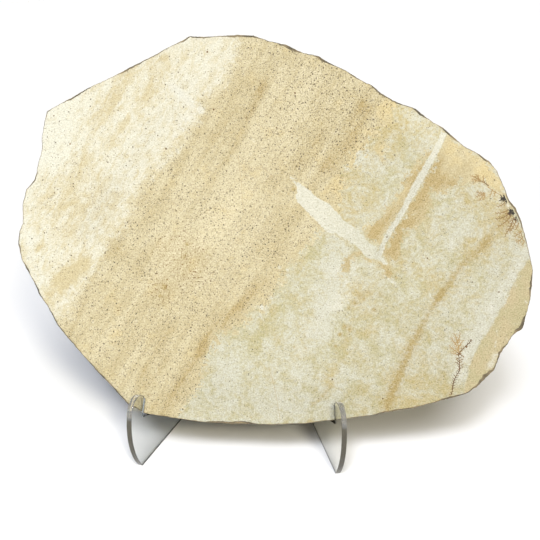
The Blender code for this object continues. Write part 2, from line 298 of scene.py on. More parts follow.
# Spots of rust, of white and of black: place and radius in pixels, then strength.
RUST_SPOTS = (
    (360, 296, 4.5, 0.65), (368, 292, 3, 0.75), (355, 303, 3.5, 0.8), (349.5, 308, 1.8, 1),
    (381, 295, 3.2, 0.5), (374, 309, 2.6, 0.85), (364, 299, 2.2, 0.9), (345, 327, 2.4, 1.1),
    (350, 329, 2.6, 1), (340, 334.5, 2.2, 1.1), (335.5, 346, 1.8, 1), (336.5, 353, 1.4, 0.9),
    (355, 347, 2.4, 0.6), (345, 341, 5, 0.3), (343.5, 361, 2, 0.5), (338, 372, 2.6, 0.4),
    (294.5, 347.5, 1.7, 0.9), (306.5, 348, 2.8, 0.5), (281, 353, 2.5, 0.3), (314, 331, 2.2, 0.4),
    (311, 421, 2.8, 0.9), (251, 417, 1.2, 0.8), (249, 423, 1.3, 0.8), (257, 415, 1.6, 0.5),
    (293.8, 188.8, 2.9, 0.9), (288, 193.5, 1.3, 0.9), (187, 244, 1.8, 1.3), (164.5, 287, 3.2, 1.1),
    (160.3, 295.5, 2.2, 1.1), (185, 257, 4, 0.5), (197, 277, 3, 0.4), (163, 415, 5, 0.4),
    (170, 407, 3.5, 0.35), (369, 261, 2, 0.5), (476.5, 302, 1.8, 0.35), (472.5, 309, 2.2, 0.3),
    (462, 325, 2, 0.4), (438, 366, 4, 0.3), (426, 377, 5, 0.22), (443, 370, 2.4, 0.4),
)
WHITE_SPOTS = (
    (508, 205.4, 2, 1.4), (492, 306.5, 1.6, 1.2), (526.3, 302, 1.4, 1.2), (498.5, 354.5, 1.4, 1.1),
    (528, 289, 1.4, 0.9), (530, 282, 1, 0.7), (353, 128, 1.6, 0.5), (347.5, 169.5, 2.2, 0.8),
    (358, 152, 2.2, 0.7), (280, 268, 2, 0.8), (288, 270, 2, 0.8), (282, 284, 1.8, 0.9), (271, 298, 3, 0.7),
    (262, 308, 3.2, 0.8), (251.5, 163, 0.9, 1), (441, 277, 1.6, 0.7),
)
DARK_SPOTS = (
    (207.3, 51.8, 0.9, 0.8), (53.8, 115.8, 0.9, 0.8), (166, 148.8, 0.9, 0.9), (70, 144, 0.8, 0.7),
    (213.6, 109.5, 0.9, 0.8), (427.5, 258.2, 0.8, 0.9), (499, 292, 0.8, 0.8), (332.3, 379.5, 0.9, 0.9),
    (382.8, 398.6, 0.8, 0.9), (246, 117.8, 0.8, 0.7), (276.5, 127.8, 0.9, 0.8), (295, 93, 0.9, 0.8),
    (152, 317, 0.9, 0.8), (118, 310.5, 0.8, 0.7), (127.5, 312.5, 0.7, 0.7), (387, 237, 0.9, 0.8),
)
# Where specks crowd: place and radius in pixels, then how much denser they are.
SPECK_CROWDS = (
    (335, 95, 42, 0.6), (300, 130, 40, 0.35), (180, 262, 30, 1.2), (160, 285, 18, 0.45),
    (345, 140, 25, 0.35), (165, 325, 30, 0.3), (225, 230, 34, 0.3), (75, 190, 50, 0.1),
)
# Where the specks are rust-brown: place and radius in pixels, then how surely.
RUSTY_SPECKS = ((183, 258, 30, 0.9), (164, 286, 20, 0.8))
# Thin cracks.
CRACKS_PX = (
    ((268.6, 367), (271, 374), (273.4, 383), (277, 400), (278.2, 408), (280.3, 420.5)),
    ((238.4, 155), (239.5, 168), (241.6, 186), (242.5, 200), (243.7, 213)),
    ((261, 165), (266, 170.5), (273.5, 177.5)),
)

# Fronds of dendrite: base and tip in pixels, then how far the side twigs reach and how far the rib
# bends, both in millimetres, and the tone from 0.2 (tan) to 1 (black).
FRONDS = (
    ((448.6, 399.6), (452.8, 388.8), 1.5, -0.3, 0.8), ((452.6, 389.2), (459.4, 371), 1.8, 0.9, 0.82),
    ((459.4, 371.5), (458.4, 352.8), 2, -0.3, 0.76), ((458.6, 354.2), (465.9, 345.9), 1.4, 0.2, 0.72),
    ((465.4, 346.6), (471.8, 339.4), 1.2, -0.2, 0.8), ((459.6, 354), (464.2, 357.2), 0.9, 0.1, 0.66),
    ((458.4, 353.4), (454.2, 333.6), 2.2, -0.8, 0.4), ((458.2, 352.6), (449.2, 345.2), 1.5, 0.4, 0.42),
    ((457, 345.5), (450.8, 337.2), 1.3, 0.3, 0.34), ((457.4, 343), (460.2, 332.4), 1.2, -0.3, 0.48),
    ((458, 350.5), (463.6, 340), 1, 0.5, 0.34), ((459, 354.6), (450.6, 352.6), 1.2, 0.1, 0.4),
    ((488.8, 185.6), (482.2, 181), 1, 0.2, 0.66), ((482.6, 181.6), (474.6, 176.4), 1.9, 0.2, 0.54),
    ((479.6, 180.4), (471.4, 179.4), 1.6, 0.1, 0.5), ((480.6, 181.4), (476, 173.8), 1.2, 0.1, 0.52),
    ((484, 183), (483.4, 175.8), 0.9, 0, 0.52), ((476.6, 178), (470.6, 175.4), 1, 0.1, 0.48),
    ((485.6, 193.2), (476.6, 191.6), 1.7, 0.3, 0.5), ((484.6, 193.8), (475.4, 197.4), 1.6, -0.3, 0.5),
    ((483.8, 194.6), (478.8, 200.8), 1.5, 0.2, 0.48), ((485, 194), (483.4, 200.2), 1, 0.1, 0.44),
    ((492.6, 189), (489.8, 196.2), 1.2, 0.2, 0.38), ((495.4, 191), (493.8, 196.8), 0.9, 0.1, 0.34),
    ((505, 202.6), (497.4, 206.6), 1.4, 0.4, 0.58), ((508.6, 209.8), (495.8, 213.2), 1.7, 0.6, 0.58),
    ((510.6, 212.8), (495.6, 219.2), 1.7, 0.7, 0.64), ((511.6, 215), (498.2, 226.4), 1.8, 0.8, 0.6),
    ((513.6, 217.4), (505.4, 234.8), 1.9, 0.6, 0.64), ((516.4, 220.2), (509.6, 232), 1.6, 0.4, 0.58),
    ((518.6, 222.6), (515.6, 230), 1.3, 0.3, 0.56), ((523, 230), (514.4, 236.6), 1.9, 0.3, 0.54),
    ((524.4, 235.6), (516.2, 242.6), 1.9, 0.3, 0.56), ((525.6, 239.4), (521.4, 245.6), 1.3, 0.2, 0.52),
)
# Lumps of black dendrite: place in pixels, radius in millimetres, tone.
LUMPS = (
    (505.2, 198.4, 2.5, 1), (502.6, 198.6, 2.2, 0.95), (506.8, 200.6, 1.8, 0.95), (510.8, 211, 2.3, 1),
    (513.6, 213.2, 2, 1), (509.4, 213.6, 1.5, 0.9), (516.8, 217.2, 1.6, 1), (519.6, 220.6, 1.4, 1),
    (515.2, 219.6, 1.2, 0.85), (466.2, 347, 0.7, 0.76), (471.2, 340.2, 0.7, 0.8), (459, 354.6, 0.6, 0.74),
)
# Threads of dendrite.
DENDRITE_THREADS_PX = (
    ((487.5, 186.6), (492.2, 190.2), (497, 193), (502.6, 196.6)),
    ((515.6, 208.8), (518.8, 214.6), (521.4, 220.6)),
)


# ---- Distances on the face, in millimetres, for many points at once ----


def distance_to_line(points, line):
    """How far each point is from a line through some corners."""
    nearest = np.full(len(points), np.inf)
    for start, end in zip(line[:-1], line[1:]):
        side = end - start
        share = np.clip((points - start) @ side / (side @ side), 0.0, 1.0)
        gap = points - start - share[:, None] * side
        nearest = np.minimum(nearest, np.hypot(gap[:, 0], gap[:, 1]))
    return nearest


def lies_within(points, outline):
    """Which points lie inside a closed outline."""
    inside = np.zeros(len(points), bool)
    for start, end in zip(outline, np.roll(outline, -1, axis=0)):
        crosses = (start[1] > points[:, 1]) != (end[1] > points[:, 1])
        slope = (end[0] - start[0]) / (end[1] - start[1] if end[1] != start[1] else SURELY_NOT_ZERO)
        inside ^= crosses & (points[:, 0] < start[0] + (points[:, 1] - start[1]) * slope)
    return inside


def signed_distance(points, outline):
    """The distance to a closed outline, negative inside it."""
    distance = distance_to_line(points, np.vstack([outline, outline[:1]]))
    return np.where(lies_within(points, outline), -distance, distance)


def smooth_line(corners, steps=5):
    """A Catmull-Rom curve through the corners of a line."""
    padded = np.vstack([2 * corners[0] - corners[1], corners, 2 * corners[-1] - corners[-2]])
    places = []
    for before, start, end, after in zip(padded, padded[1:], padded[2:], padded[3:]):
        for share in np.arange(steps) / steps:
            places.append(0.5 * (2 * start + (end - before) * share
                                 + (2 * before - 5 * start + 4 * end - after) * share ** 2
                                 + (3 * start - before - 3 * end + after) * share ** 3))
    return np.vstack([places, corners[-1:]])


def line_field(points, lines):
    """Soft lines added up: (half width in millimetres, strength, pixels after pixels) each."""
    total = np.zeros(len(points))
    for half_width, strength, *pixels in lines:
        distance = distance_to_line(points, smooth_line(on_face(pixels)))
        total += strength * np.exp(-((distance / half_width) ** 2))
    return total


def spot_at(points, across, down, radius):
    """A soft round spot about a pixel: 1 in its middle, and its radius in millimetres."""
    gap = np.hypot(*(points - on_face(((across, down),))[0]).T) / radius
    return np.exp(-(gap ** 2))


def spot_field(points, spots, merge=np.maximum):
    """Soft round spots: (across, down, radius in pixels, strength) each.

    Where they meet the strongest counts, unless another way to merge them is given.
    """
    merged = np.zeros(len(points))
    for across, down, radius, strength in spots:
        merged = merge(merged, strength * spot_at(points, across, down, radius * PX_MM))
    return merged


def ramp(values, ends):
    """A smooth step from 0 at the first end to 1 at the second."""
    share = np.clip((values - ends[0]) / (ends[1] - ends[0]), 0.0, 1.0)
    return share * share * (3.0 - 2.0 * share)


def noise_at(points, size, row):
    """Smooth noise from about -1 to 1: the size of its lumps, and which of many such noises."""
    return np.array([noise.noise(Vector((x / size, y / size, row))) for x, y in points])


# ---- The fields that the stone's material reads ----

BAND_ANGLE = math.radians(58.0)  # the banding rises this steeply to the right

# Painted shade: the face is painted darker the farther to the lower right, where less light falls, by this
# share over this span.
SHADE_ANGLE = math.radians(-38.0)
SHADE_SPAN_MM = (-60.0, 110.0)
SHADE_SHARE = 0.11

# How the tan band's edge is drawn beside the pale part, beside the cream part and round the patches.
EDGE_SOFTNESS = (1.0, 6.0, 1.3)
EDGE_RAGGEDNESS = (24.0, 19.0, 19.0)
CREAM_SIDE_MM = (-8.0, 8.0)
PATCH_SIDE_MM = (-2.0, 3.0)
BAND_EDGE_MM = (-3.0, 3.0)
PATCH_OCHRE = 0.12  # more ochre in the patches than in the band

SCRATCH_HALF_WIDTH_MM = 0.35
PRINT_CLEARS_SPECKS_MM = (-0.6, 1.2)
OLIVE_CLEARS_SPECKS_MM = (-1.0, 1.0)
FEWEST_SPECKS = 0.08
MORE_SPECKS_IN_CREAM = 0.05
MORE_SPECKS_IN_BAND = 0.54
MORE_SPECKS_IN_CROWD = 1.3
USUAL_MOTTLE = 0.42
USUAL_GOLD = 0.3


def three_ways(kinds, near_cream, from_patch):
    """One of three numbers at each point, for the pale side, the cream side and the patches."""
    pale, cream, patch = kinds
    return (pale + (cream - pale) * near_cream) * (1.0 - from_patch) + patch * from_patch


def distance_to_print(points):
    """How far each point is from the wing, the stripe and the tail, negative inside them."""
    wing = signed_distance(points, on_face(WING_UPPER_PX + WING_LOWER_PX[::-1]))
    stripe = signed_distance(points, on_face(STRIPE_LEFT_PX + STRIPE_RIGHT_PX[::-1]))
    tail = signed_distance(points, on_face(TAIL_PX))
    scratch = distance_to_line(points, on_face(TAIL_SCRATCH_PX)) - SCRATCH_HALF_WIDTH_MM
    return np.min([wing, stripe, tail, scratch], axis=0)


def stone_fields(points):
    """Every field at every point of the face: a name, and an array of numbers or of vectors."""
    cream = distance_to_line(points, smooth_line(on_face(CREAM_EDGE_PX)))
    pale = distance_to_line(points, on_face(PALE_EDGE_PX))
    band_px = CREAM_EDGE_PX + BAND_OUTSIDE_PX[:1] + PALE_EDGE_PX + BAND_OUTSIDE_PX[1:]
    band = signed_distance(points, on_face(band_px))
    patches = np.min([signed_distance(points, on_face(patch)) for patch in TAN_PATCHES_PX], axis=0)
    tan = np.minimum(band, patches)
    near_cream = ramp(pale - cream, CREAM_SIDE_MM)
    from_patch = ramp(band - patches, PATCH_SIDE_MM)
    softness = three_ways(EDGE_SOFTNESS, near_cream, from_patch)
    raggedness = three_ways(EDGE_RAGGEDNESS, near_cream, from_patch)
    olive = signed_distance(points, on_face(OLIVE_EDGE_PX + OLIVE_OUTSIDE_PX))
    print_gap = distance_to_print(points)
    # painted shade, darker towards the lower right, where less light falls
    painted_shade = SHADE_SHARE * ramp(points @ (math.cos(SHADE_ANGLE), math.sin(SHADE_ANGLE)), SHADE_SPAN_MM)
    specks = (FEWEST_SPECKS + MORE_SPECKS_IN_CREAM * near_cream
              + MORE_SPECKS_IN_BAND * ramp(-tan, BAND_EDGE_MM) * (1.0 - from_patch)
              + MORE_SPECKS_IN_CROWD * spot_field(points, SPECK_CROWDS, np.add))
    specks *= ramp(print_gap, PRINT_CLEARS_SPECKS_MM)
    specks *= ramp(olive, OLIVE_CLEARS_SPECKS_MM)
    ochre = line_field(points, OCHRE_LINES) - line_field(points, LIGHT_LINES)
    mottle = USUAL_MOTTLE + line_field(points, CRUMB_LINES) - line_field(points, CLEAN_LINES)
    return {
        "tan_edge": np.stack([tan, softness, raggedness], axis=1),
        "print_mm": print_gap,
        "olive_mm": olive,
        "ochre": ochre + PATCH_OCHRE * from_patch,
        "mottle": mottle,
        "gold": USUAL_GOLD + line_field(points, GOLD_LINES),
        # the stone's lightness, with the painted shade towards the lower right taken off
        "lightness_and_shade": 1.0 - painted_shade - line_field(points, DARKENED_LINES),
        "white": np.maximum(line_field(points, WHITE_LINES), spot_field(points, WHITE_SPOTS)),
        "rust": np.maximum(line_field(points, RUST_LINES), spot_field(points, RUST_SPOTS)),
        "specks": specks,
        "rusty_specks": spot_field(points, RUSTY_SPECKS),
        "pale_side": 1.0 - near_cream,
    }


# ---- The slab's shape ----

THICKNESS_MM = 10.0
SAME_CORNER = 1e-6  # metres, and corners this near are one
RIM_STEP_MM = 0.85
FACE_GRID_MM = 1.16
BACK_GRID_MM = 2.1
GRID_JITTER = 0.18
GRID_SEED = 11
SLAB_SHARP_ANGLE = math.radians(32.0)

# Noises in the shape: how strong, the size of the lumps in millimetres, and which of many noises.
# Those of two numbers have no strength of their own.
RIM_BITES = ((0.32, 2.6, 1.5), (0.22, 1.1, 4.5))
FACE_SWELLS = ((0.5, 23.0, 2.2), (0.3, 7.0, 5.1), (0.2, 2.4, 8.8))
RELIEF_MM = 0.22
RELIEF_SHARES = (0.55, 0.5)  # all over, and for each one of the swells
BACK_WAVE = (42.0, 3.1)
BACK_RIPPLES = (11.0, 8.4)
BACK_TERRACES = (0.35, 16.0, 6.6)
TERRACES_IN_WAVE = 3.5
BACK_GRAIN = ((0.07, 3.2, 1.9), (0.05, 5.0, 7.7))
BACK_DIP_MM = 1.1
DIP_SHARES = (0.45, 0.35, 0.2)  # of the wave, of its terraces and of the ripples
BACK_LEAST_DIP_MM = 0.12
BACK_GAP_MM = 0.05  # from the plain solid's back, at the least

# Flakes along the face's edge: how far they reach in, wherever they lie and at some places of the
# rim, which are given as a place in pixels, half a length in millimetres and a reach in millimetres.
SHARP_EDGE_MM = 0.46
SHARP_EDGE_NOISE = (0.5, 1.9, 3.3)
FLAKE_REACH_MM = 2.2
FLAKE_NOISE = (13.0, 14.6)
FLAKE_EDGE_NOISE = (0.3, 1.7, 9.3)
FLAKE_SHARE = 0.85  # of the reach, before that noise
FLAKES = (
    (520, 325, 7, 3.2), (513, 205, 9, 1.3), (290, 47, 8, 2), (236, 36.5, 7, 1.9), (420, 112, 6, 1.5),
    (322, 58, 6, 1.6), (486, 377, 9, 2.6), (502, 352, 6, 1.6), (27, 268, 5, 1.3), (250, 37.5, 7, 1.5),
    (184, 38, 6, 1.2), (452, 137, 5, 1.3), (484, 160, 6, 1.2), (60, 330, 26, 0.75), (104, 384, 24, 0.75),
    (34, 290, 10, 0.9), (120, 402, 12, 0.8),
)
# How far the rim stands out from the plain solid's, above the hooks and, likewise, at some places.
RIM_SWELL_MM = 0.4
SWELL_HEIGHT_MM = (10.0, 30.0)
SWELLINGS = (
    (504, 188, 9, 0.7), (525, 322, 5, 1.4), (529, 304, 6, 0.7), (43, 124, 5, 0.9), (37, 164, 5, 0.5),
    (318, 56, 9, 0.5), (292, 47, 6, 0.5), (199, 36, 6, 0.4), (128, 67, 8, 0.4),
)
# The rim's rings: shares of a flake's reach and of its lip's depth, then shares of the thickness.
SCAR_RINGS = ((0.62, 0.52), (0.22, 0.86))
SCAR_NOISE = (0.12, 1.4, 20.0)
LIP_MM = (0.3, 0.9)  # how deep a flake's lip lies, and how much deeper for each millimetre of reach
LIP_SHARE = 0.3  # of the thickness, at the most
RIM_DEPTHS = (0.16, 0.25, 0.34, 0.43, 0.52, 0.61, 0.70, 0.79, 0.87, 0.935)
LEAST_RING_MM = 0.35  # between two rings' depths
BULGE_MM = (0.35, 0.32, 0.3)  # how far in the rings lie: all round, by their bed and by their chips
LEAST_BULGE_MM = (0.05, 0.15)  # at the face, and how much more at the back
# The last number of these noises is how far each ring's is on from the last ring's.
BED_NOISE = (8.0, 30.0, 0.9)
BEDS_IN_NOISE = 3.0
CHIP_NOISES = ((0.5, 2.2, 50.0, 1.3), (0.3, 1.1, 70.0, 1.7))
BACK_BREAK_MM = 2.6  # how far the back's edge is broken away
BACK_BREAK_NOISE = (9.0, 11.3)
BACK_BREAK_STARTS = 0.45  # share of the thickness
BACK_BREAK_GROWTH = 1.1  # of the break, through the whole thickness

# The UV map for the colours: its margin, where the face ends, how wide the back is in it, how
# many strips the rim lies in, and how much of its lane a strip fills.
MAP_EDGE = 0.01
MAP_SHELF = 0.77
MAP_BACK_WIDTH = 0.27
MAP_STRIPS = 5
MAP_STRIP_FILL = 0.85


def cad_outline():
    """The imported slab's outline as the face is looked at squarely, clockwise, in millimetres."""
    bm = bmesh.new()
    bm.from_mesh(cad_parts["fossil_slab"].data)
    bmesh.ops.remove_doubles(bm, verts=bm.verts, dist=SAME_CORNER)
    bm.normal_update()
    turning = {}
    for edge in bm.edges:
        if len({face.normal.dot(INTO_STONE) < 0.0 for face in edge.link_faces}) == 2:
            for corner in edge.verts:
                turning.setdefault(corner, []).append(edge.other_vert(corner))
    loop = [next(iter(turning))]
    last = None
    while len(loop) < 2 or loop[-1] is not loop[0]:
        following = [corner for corner in turning[loop[-1]] if corner is not last]
        last = loop[-1]
        loop.append(following[0])
    places = np.array([((corner.co - ORIGIN).dot(FACE_RIGHT), (corner.co - ORIGIN).dot(FACE_UP))
                       for corner in loop[:-1]]) / MM
    bm.free()
    return places


def fine_rim():
    """The rim at even steps, with small bites, and the way out of the stone at each point."""
    corners = cad_outline()
    sides = np.roll(corners, -1, axis=0) - corners
    lengths = np.hypot(sides[:, 0], sides[:, 1])
    along = np.concatenate([[0.0], np.cumsum(lengths)])
    count = round(along[-1] / RIM_STEP_MM)
    steps = np.arange(count) * along[-1] / count
    closed = np.vstack([corners, corners[:1]])
    places = np.stack([np.interp(steps, along, closed[:, axis]) for axis in (0, 1)], axis=1)
    chords = np.roll(places, -2, axis=0) - np.roll(places, 2, axis=0)
    chords /= np.hypot(chords[:, 0], chords[:, 1])[:, None]
    outward = np.stack([-chords[:, 1], chords[:, 0]], axis=1)
    if not lies_within(places[:1] - outward[:1], corners)[0]:
        outward = -outward
    bites = sum(depth * np.abs(noise_at(places, size, row)) for depth, size, row in RIM_BITES)
    swelling = RIM_SWELL_MM * ramp(places[:, 1], SWELL_HEIGHT_MM)
    for across, down, spread, amount in SWELLINGS:
        swelling += amount * spot_at(places, across, down, spread)
    return places + outward * (swelling - bites)[:, None], outward


def noise_sum(points, *noises):
    """Noises added up: (strength, size of the lumps, which noise) each."""
    return sum(strength * noise_at(points, size, row) for strength, size, row in noises)


def face_relief(points):
    """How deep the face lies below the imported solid's, in millimetres: faint swells and grain."""
    usual, swelling = RELIEF_SHARES
    return RELIEF_MM * (usual + swelling * noise_sum(points, *FACE_SWELLS))


def back_depth(points):
    """How deep the back lies: split by hand, with terraces where it left one bed for the next."""
    wave = noise_at(points, *BACK_WAVE)
    terraces = np.round((wave + noise_sum(points, BACK_TERRACES)) * TERRACES_IN_WAVE) / TERRACES_IN_WAVE
    dips = (wave, terraces, noise_at(points, *BACK_RIPPLES))
    dip = BACK_DIP_MM * np.abs(sum(share * noise for share, noise in zip(DIP_SHARES, dips)))
    depth = THICKNESS_MM - BACK_LEAST_DIP_MM - dip + noise_sum(points, *BACK_GRAIN)
    return np.minimum(THICKNESS_MM - BACK_GAP_MM, depth)


def flake_reach(places):
    """How far a struck flake reaches in from the rim at each of its points, in millimetres."""
    reach = FLAKE_REACH_MM * np.maximum(0.0, noise_at(places, *FLAKE_NOISE))
    for across, down, spread, depth in FLAKES:
        gap = np.hypot(*(places - on_face(((across, down),))[0]).T) / spread
        reach = np.maximum(reach, depth * (1.0 - gap ** 2))
    reach *= FLAKE_SHARE + noise_sum(places, FLAKE_EDGE_NOISE)
    return SHARP_EDGE_MM * (1.0 + noise_sum(places, SHARP_EDGE_NOISE)) + reach


def ring_bulge(places, row, share, broken):
    """How far in a ring of the rim lies, from its bed, its chips and the break of the back's edge."""
    size, first, step = BED_NOISE
    bed = np.round(noise_at(places, size, first + step * row) * BEDS_IN_NOISE) / BEDS_IN_NOISE
    chip = noise_sum(places, *[(strength, size, first + step * row)
                               for strength, size, first, step in CHIP_NOISES])
    usual, of_bed, of_chip = BULGE_MM
    least, at_back = LEAST_BULGE_MM
    broken_here = broken * max(0.0, share - BACK_BREAK_STARTS) * BACK_BREAK_GROWTH
    return np.maximum(least + at_back * share, usual + of_bed * bed + of_chip * chip + broken_here)


def rim_rings():
    """The rim as rings of (places, depths), from the face's edge to the back's."""
    places, outward = fine_rim()
    reach = flake_reach(places)
    broken = BACK_BREAK_MM * (0.5 + 0.5 * np.abs(noise_at(places, *BACK_BREAK_NOISE)))
    lip = np.minimum(LIP_SHARE * THICKNESS_MM, LIP_MM[0] + LIP_MM[1] * reach)
    edge = places - outward * reach[:, None]
    rings = [(edge, face_relief(edge))]
    for share, fall in SCAR_RINGS:
        strength, size, first = SCAR_NOISE
        scar = share + noise_sum(places, (strength, size, first + share))
        rings.append((places - outward * (reach * scar)[:, None], lip * fall))
    rings.append((places, lip))
    for row, share in enumerate(RIM_DEPTHS):
        depth = np.maximum(lip + LEAST_RING_MM * (row + 1), share * THICKNESS_MM)
        rings.append((places - outward * ring_bulge(places, row, share, broken)[:, None], depth))
    edge = places - outward * broken[:, None]
    rings.append((edge, np.minimum(back_depth(edge), THICKNESS_MM - LEAST_RING_MM)))
    return rings


def clear_within(points, outline, margin):
    """Which points lie inside an outline and at least a margin away from its corners."""
    tree = KDTree(len(outline))
    for index, corner in enumerate(outline):
        tree.insert((corner[0], corner[1], 0.0), index)
    tree.balance()
    gaps = np.array([tree.find((x, y, 0.0))[2] for x, y in points])
    return lies_within(points, outline) & (gaps > margin)


def grid_within(outline, step, margin):
    """Jittered points of a triangular grid inside an outline, clear of it by a margin."""
    rng = np.random.default_rng(GRID_SEED)
    low, high = outline.min(axis=0), outline.max(axis=0)
    columns = np.arange(low[0], high[0], step)
    heights = np.arange(low[1], high[1], step * math.sqrt(3.0) / 2.0)
    rows = [np.column_stack([columns + (row % 2) * step / 2.0, np.full(len(columns), height)])
            for row, height in enumerate(heights)]
    points = np.concatenate(rows)
    points = points + rng.uniform(-1.0, 1.0, points.shape) * GRID_JITTER * step
    return points[clear_within(points, outline, margin)]


# ---- The dendrites, as thin shapes cut into the face's mesh ----

DENDRITE_SEED = 20
RIB_STEPS = 8
RIB_SHAKE_MM = 0.06
RIB_WIDTHS_MM = (0.46, 0.30)
BLACK_RIB_WIDER_MM = 0.20
TWIG_REACH = 1.25  # of a frond's reach
TWIG_SPACING_MM = 0.85
TWIG_ANGLES = (38.0, 72.0)  # degrees from the rib
TWIG_WIDTHS_MM = (0.38, 0.22)
TWIG_LENGTHS = (0.55, 1.1)  # shares of the reach, at the rib's ends and what the middle adds
PALEST_TWIG = 0.15
LOOK_AHEAD_MM = 0.3
# Between which two shares each twig's own is drawn at random.
LENGTH_SHARES = (0.75, 1.15)
BEND_SHARES = (-0.12, 0.12)
TONE_SHARES = (0.72, 1.05)
WIDTH_SHARES = (0.8, 1.2)
SPACING_SHARES = (0.8, 1.2)
FIRST_SPACING_SHARES = (0.5, 1.0)
SMALLEST_BRANCHED_MM = 2.0
FINEST_REACH = 0.40  # of the length of the twig that a twig is on
FINEST_TONE = 0.9
FINEST_SPACING_MM = 0.75
THREAD_WIDTHS_MM = (0.40, 0.30)
THREAD_TONE = 0.42
CRACK_WIDTHS_MM = (0.30, 0.30)
CRACK_TONE = 0.17
LUMP_CORNERS = 18
LUMP_CORE = 0.48  # of its radius
LUMP_SHARES = (0.6, 1.2)  # of that
LUMP_RAY_SHARES = (0.7, 1.4)  # of the radius
LUMP_RAYS = (6, 3)  # for each millimetre of the radius, and more
LUMP_RAY_WIDTHS_MM = (0.5, 0.16)
LUMP_RAY_BEND_MM = 0.1
LUMP_RAY_TONES = (0.85, 1.0)
SPOT_CORNERS = 10
SPOT_SHARES = (0.8, 1.1)
SPOT_TONE = 0.9


def strip(line, start_width, end_width):
    """A tapering strip along a line, as one outline."""
    across = np.gradient(line, axis=0)
    across = np.stack([-across[:, 1], across[:, 0]], axis=1)
    across /= np.hypot(across[:, 0], across[:, 1])[:, None] + SURELY_NOT_ZERO
    widths = np.linspace(start_width, end_width, len(line))[:, None] / 2.0
    return np.vstack([line + across * widths, (line - across * widths)[::-1]])


def bent_line(start, end, bend, steps):
    """A line of the given steps that bends away from the straight one by at most the bend."""
    share = np.linspace(0.0, 1.0, steps + 1)[:, None]
    side = end - start
    across = np.array([-side[1], side[0]]) / (np.hypot(*side) + SURELY_NOT_ZERO)
    return start + side * share + across * bend * np.sin(np.pi * share)


def towards(heading):
    """A step of one along a heading."""
    return np.array([math.cos(heading), math.sin(heading)])


def place_along(line, lengths, along):
    """The place on a line at a distance along it, from the lengths up to its corners."""
    return np.array([np.interp(along, lengths, line[:, axis]) for axis in (0, 1)])


def side_twigs(rng, rib, reach, tone, spacing, finest):
    """Twigs off both sides of a rib, longest a third of the way along, each with its own twigs."""
    shapes = []
    lengths = np.concatenate([[0.0], np.cumsum(np.hypot(*np.diff(rib, axis=0).T))])
    side = rng.choice((-1.0, 1.0))
    along = spacing * rng.uniform(*FIRST_SPACING_SHARES)
    while along < lengths[-1]:
        share = along / lengths[-1]
        base = place_along(rib, lengths, along)
        ahead = place_along(rib, lengths, min(along + LOOK_AHEAD_MM, lengths[-1]))
        heading = math.atan2(*(ahead - base)[::-1]) + side * math.radians(rng.uniform(*TWIG_ANGLES))
        usual = TWIG_LENGTHS[0] + TWIG_LENGTHS[1] * share ** 0.5 * (1.0 - share)
        length = reach * usual * rng.uniform(*LENGTH_SHARES)
        twig = bent_line(base, base + length * towards(heading), rng.uniform(*BEND_SHARES) * length, 3)
        shade = min(1.0, max(PALEST_TWIG, tone * rng.uniform(*TONE_SHARES)))
        width = TWIG_WIDTHS_MM[0] * rng.uniform(*WIDTH_SHARES)
        shapes.append((strip(twig, width, TWIG_WIDTHS_MM[1]), shade))
        if not finest and length > SMALLEST_BRANCHED_MM:
            shapes += side_twigs(rng, twig, FINEST_REACH * length, FINEST_TONE * tone,
                                 FINEST_SPACING_MM, True)
        side = -side
        along += spacing * rng.uniform(*SPACING_SHARES)
    return shapes


def frond_shapes(rng, base, tip, reach, bend, tone):
    """A frond: its rib, slightly shaken, and its twigs."""
    rib = bent_line(*on_face((base, tip)), bend, RIB_STEPS)
    for corner in rib[1:-1]:
        corner += [rng.uniform(-RIB_SHAKE_MM, RIB_SHAKE_MM), rng.uniform(-RIB_SHAKE_MM, RIB_SHAKE_MM)]
    twigs = side_twigs(rng, rib, TWIG_REACH * reach, tone, TWIG_SPACING_MM, False)
    width = RIB_WIDTHS_MM[0] + BLACK_RIB_WIDER_MM * tone
    return [(strip(rib, width, RIB_WIDTHS_MM[1]), tone)] + twigs


def all_round(count):
    """Steps of one in evenly spread directions."""
    headings = np.linspace(0.0, 2.0 * math.pi, count, endpoint=False)
    return np.array([towards(heading) for heading in headings])


def lump_shapes(rng, across, down, radius, tone):
    """A black lump with short rays all round."""
    centre = on_face(((across, down),))[0]
    corners = all_round(LUMP_CORNERS)
    reach = np.array([radius * LUMP_CORE * rng.uniform(*LUMP_SHARES) for _ in corners])
    shapes = [(centre + reach[:, None] * corners, tone)]
    for _ in range(int(LUMP_RAYS[0] * radius) + LUMP_RAYS[1]):
        heading = rng.uniform(0.0, 2.0 * math.pi)
        tip = centre + towards(heading) * radius * rng.uniform(*LUMP_RAY_SHARES)
        ray = strip(bent_line(centre, tip, LUMP_RAY_BEND_MM, 3), *LUMP_RAY_WIDTHS_MM)
        shapes.append((ray, tone * rng.uniform(*LUMP_RAY_TONES)))
    return shapes


def dendrite_shapes():
    """The outlines of all the dendrites, cracks and dark spots, with their tones."""
    rng = random.Random(DENDRITE_SEED)
    shapes = []
    for frond in FRONDS:
        shapes += frond_shapes(rng, *frond)
    for pixels in DENDRITE_THREADS_PX:
        shapes.append((strip(smooth_line(on_face(pixels), 3), *THREAD_WIDTHS_MM), THREAD_TONE))
    for pixels in CRACKS_PX:
        shapes.append((strip(on_face(pixels), *CRACK_WIDTHS_MM), CRACK_TONE))
    for across, down, radius, tone in DARK_SPOTS:
        spot = all_round(SPOT_CORNERS) * radius * PX_MM * rng.uniform(*SPOT_SHARES)
        shapes.append((on_face(((across, down),))[0] + spot, SPOT_TONE * tone))
    for lump in LUMPS:
        shapes += lump_shapes(rng, *lump)
    return shapes


# ---- The slab's mesh ----

TRIANGLES_INSIDE = 1  # what delaunay_2d_cdt gives: the triangles inside the first outline
MERGED_WITHIN_MM = 1e-4
DENDRITES_CLEAR_MM = 0.5  # of the face's edge
PULLED_IN = 1.2  # of that, for a dendrite that passes the edge
GRID_CLEARANCE = 0.6  # of the grid's step, from the outline


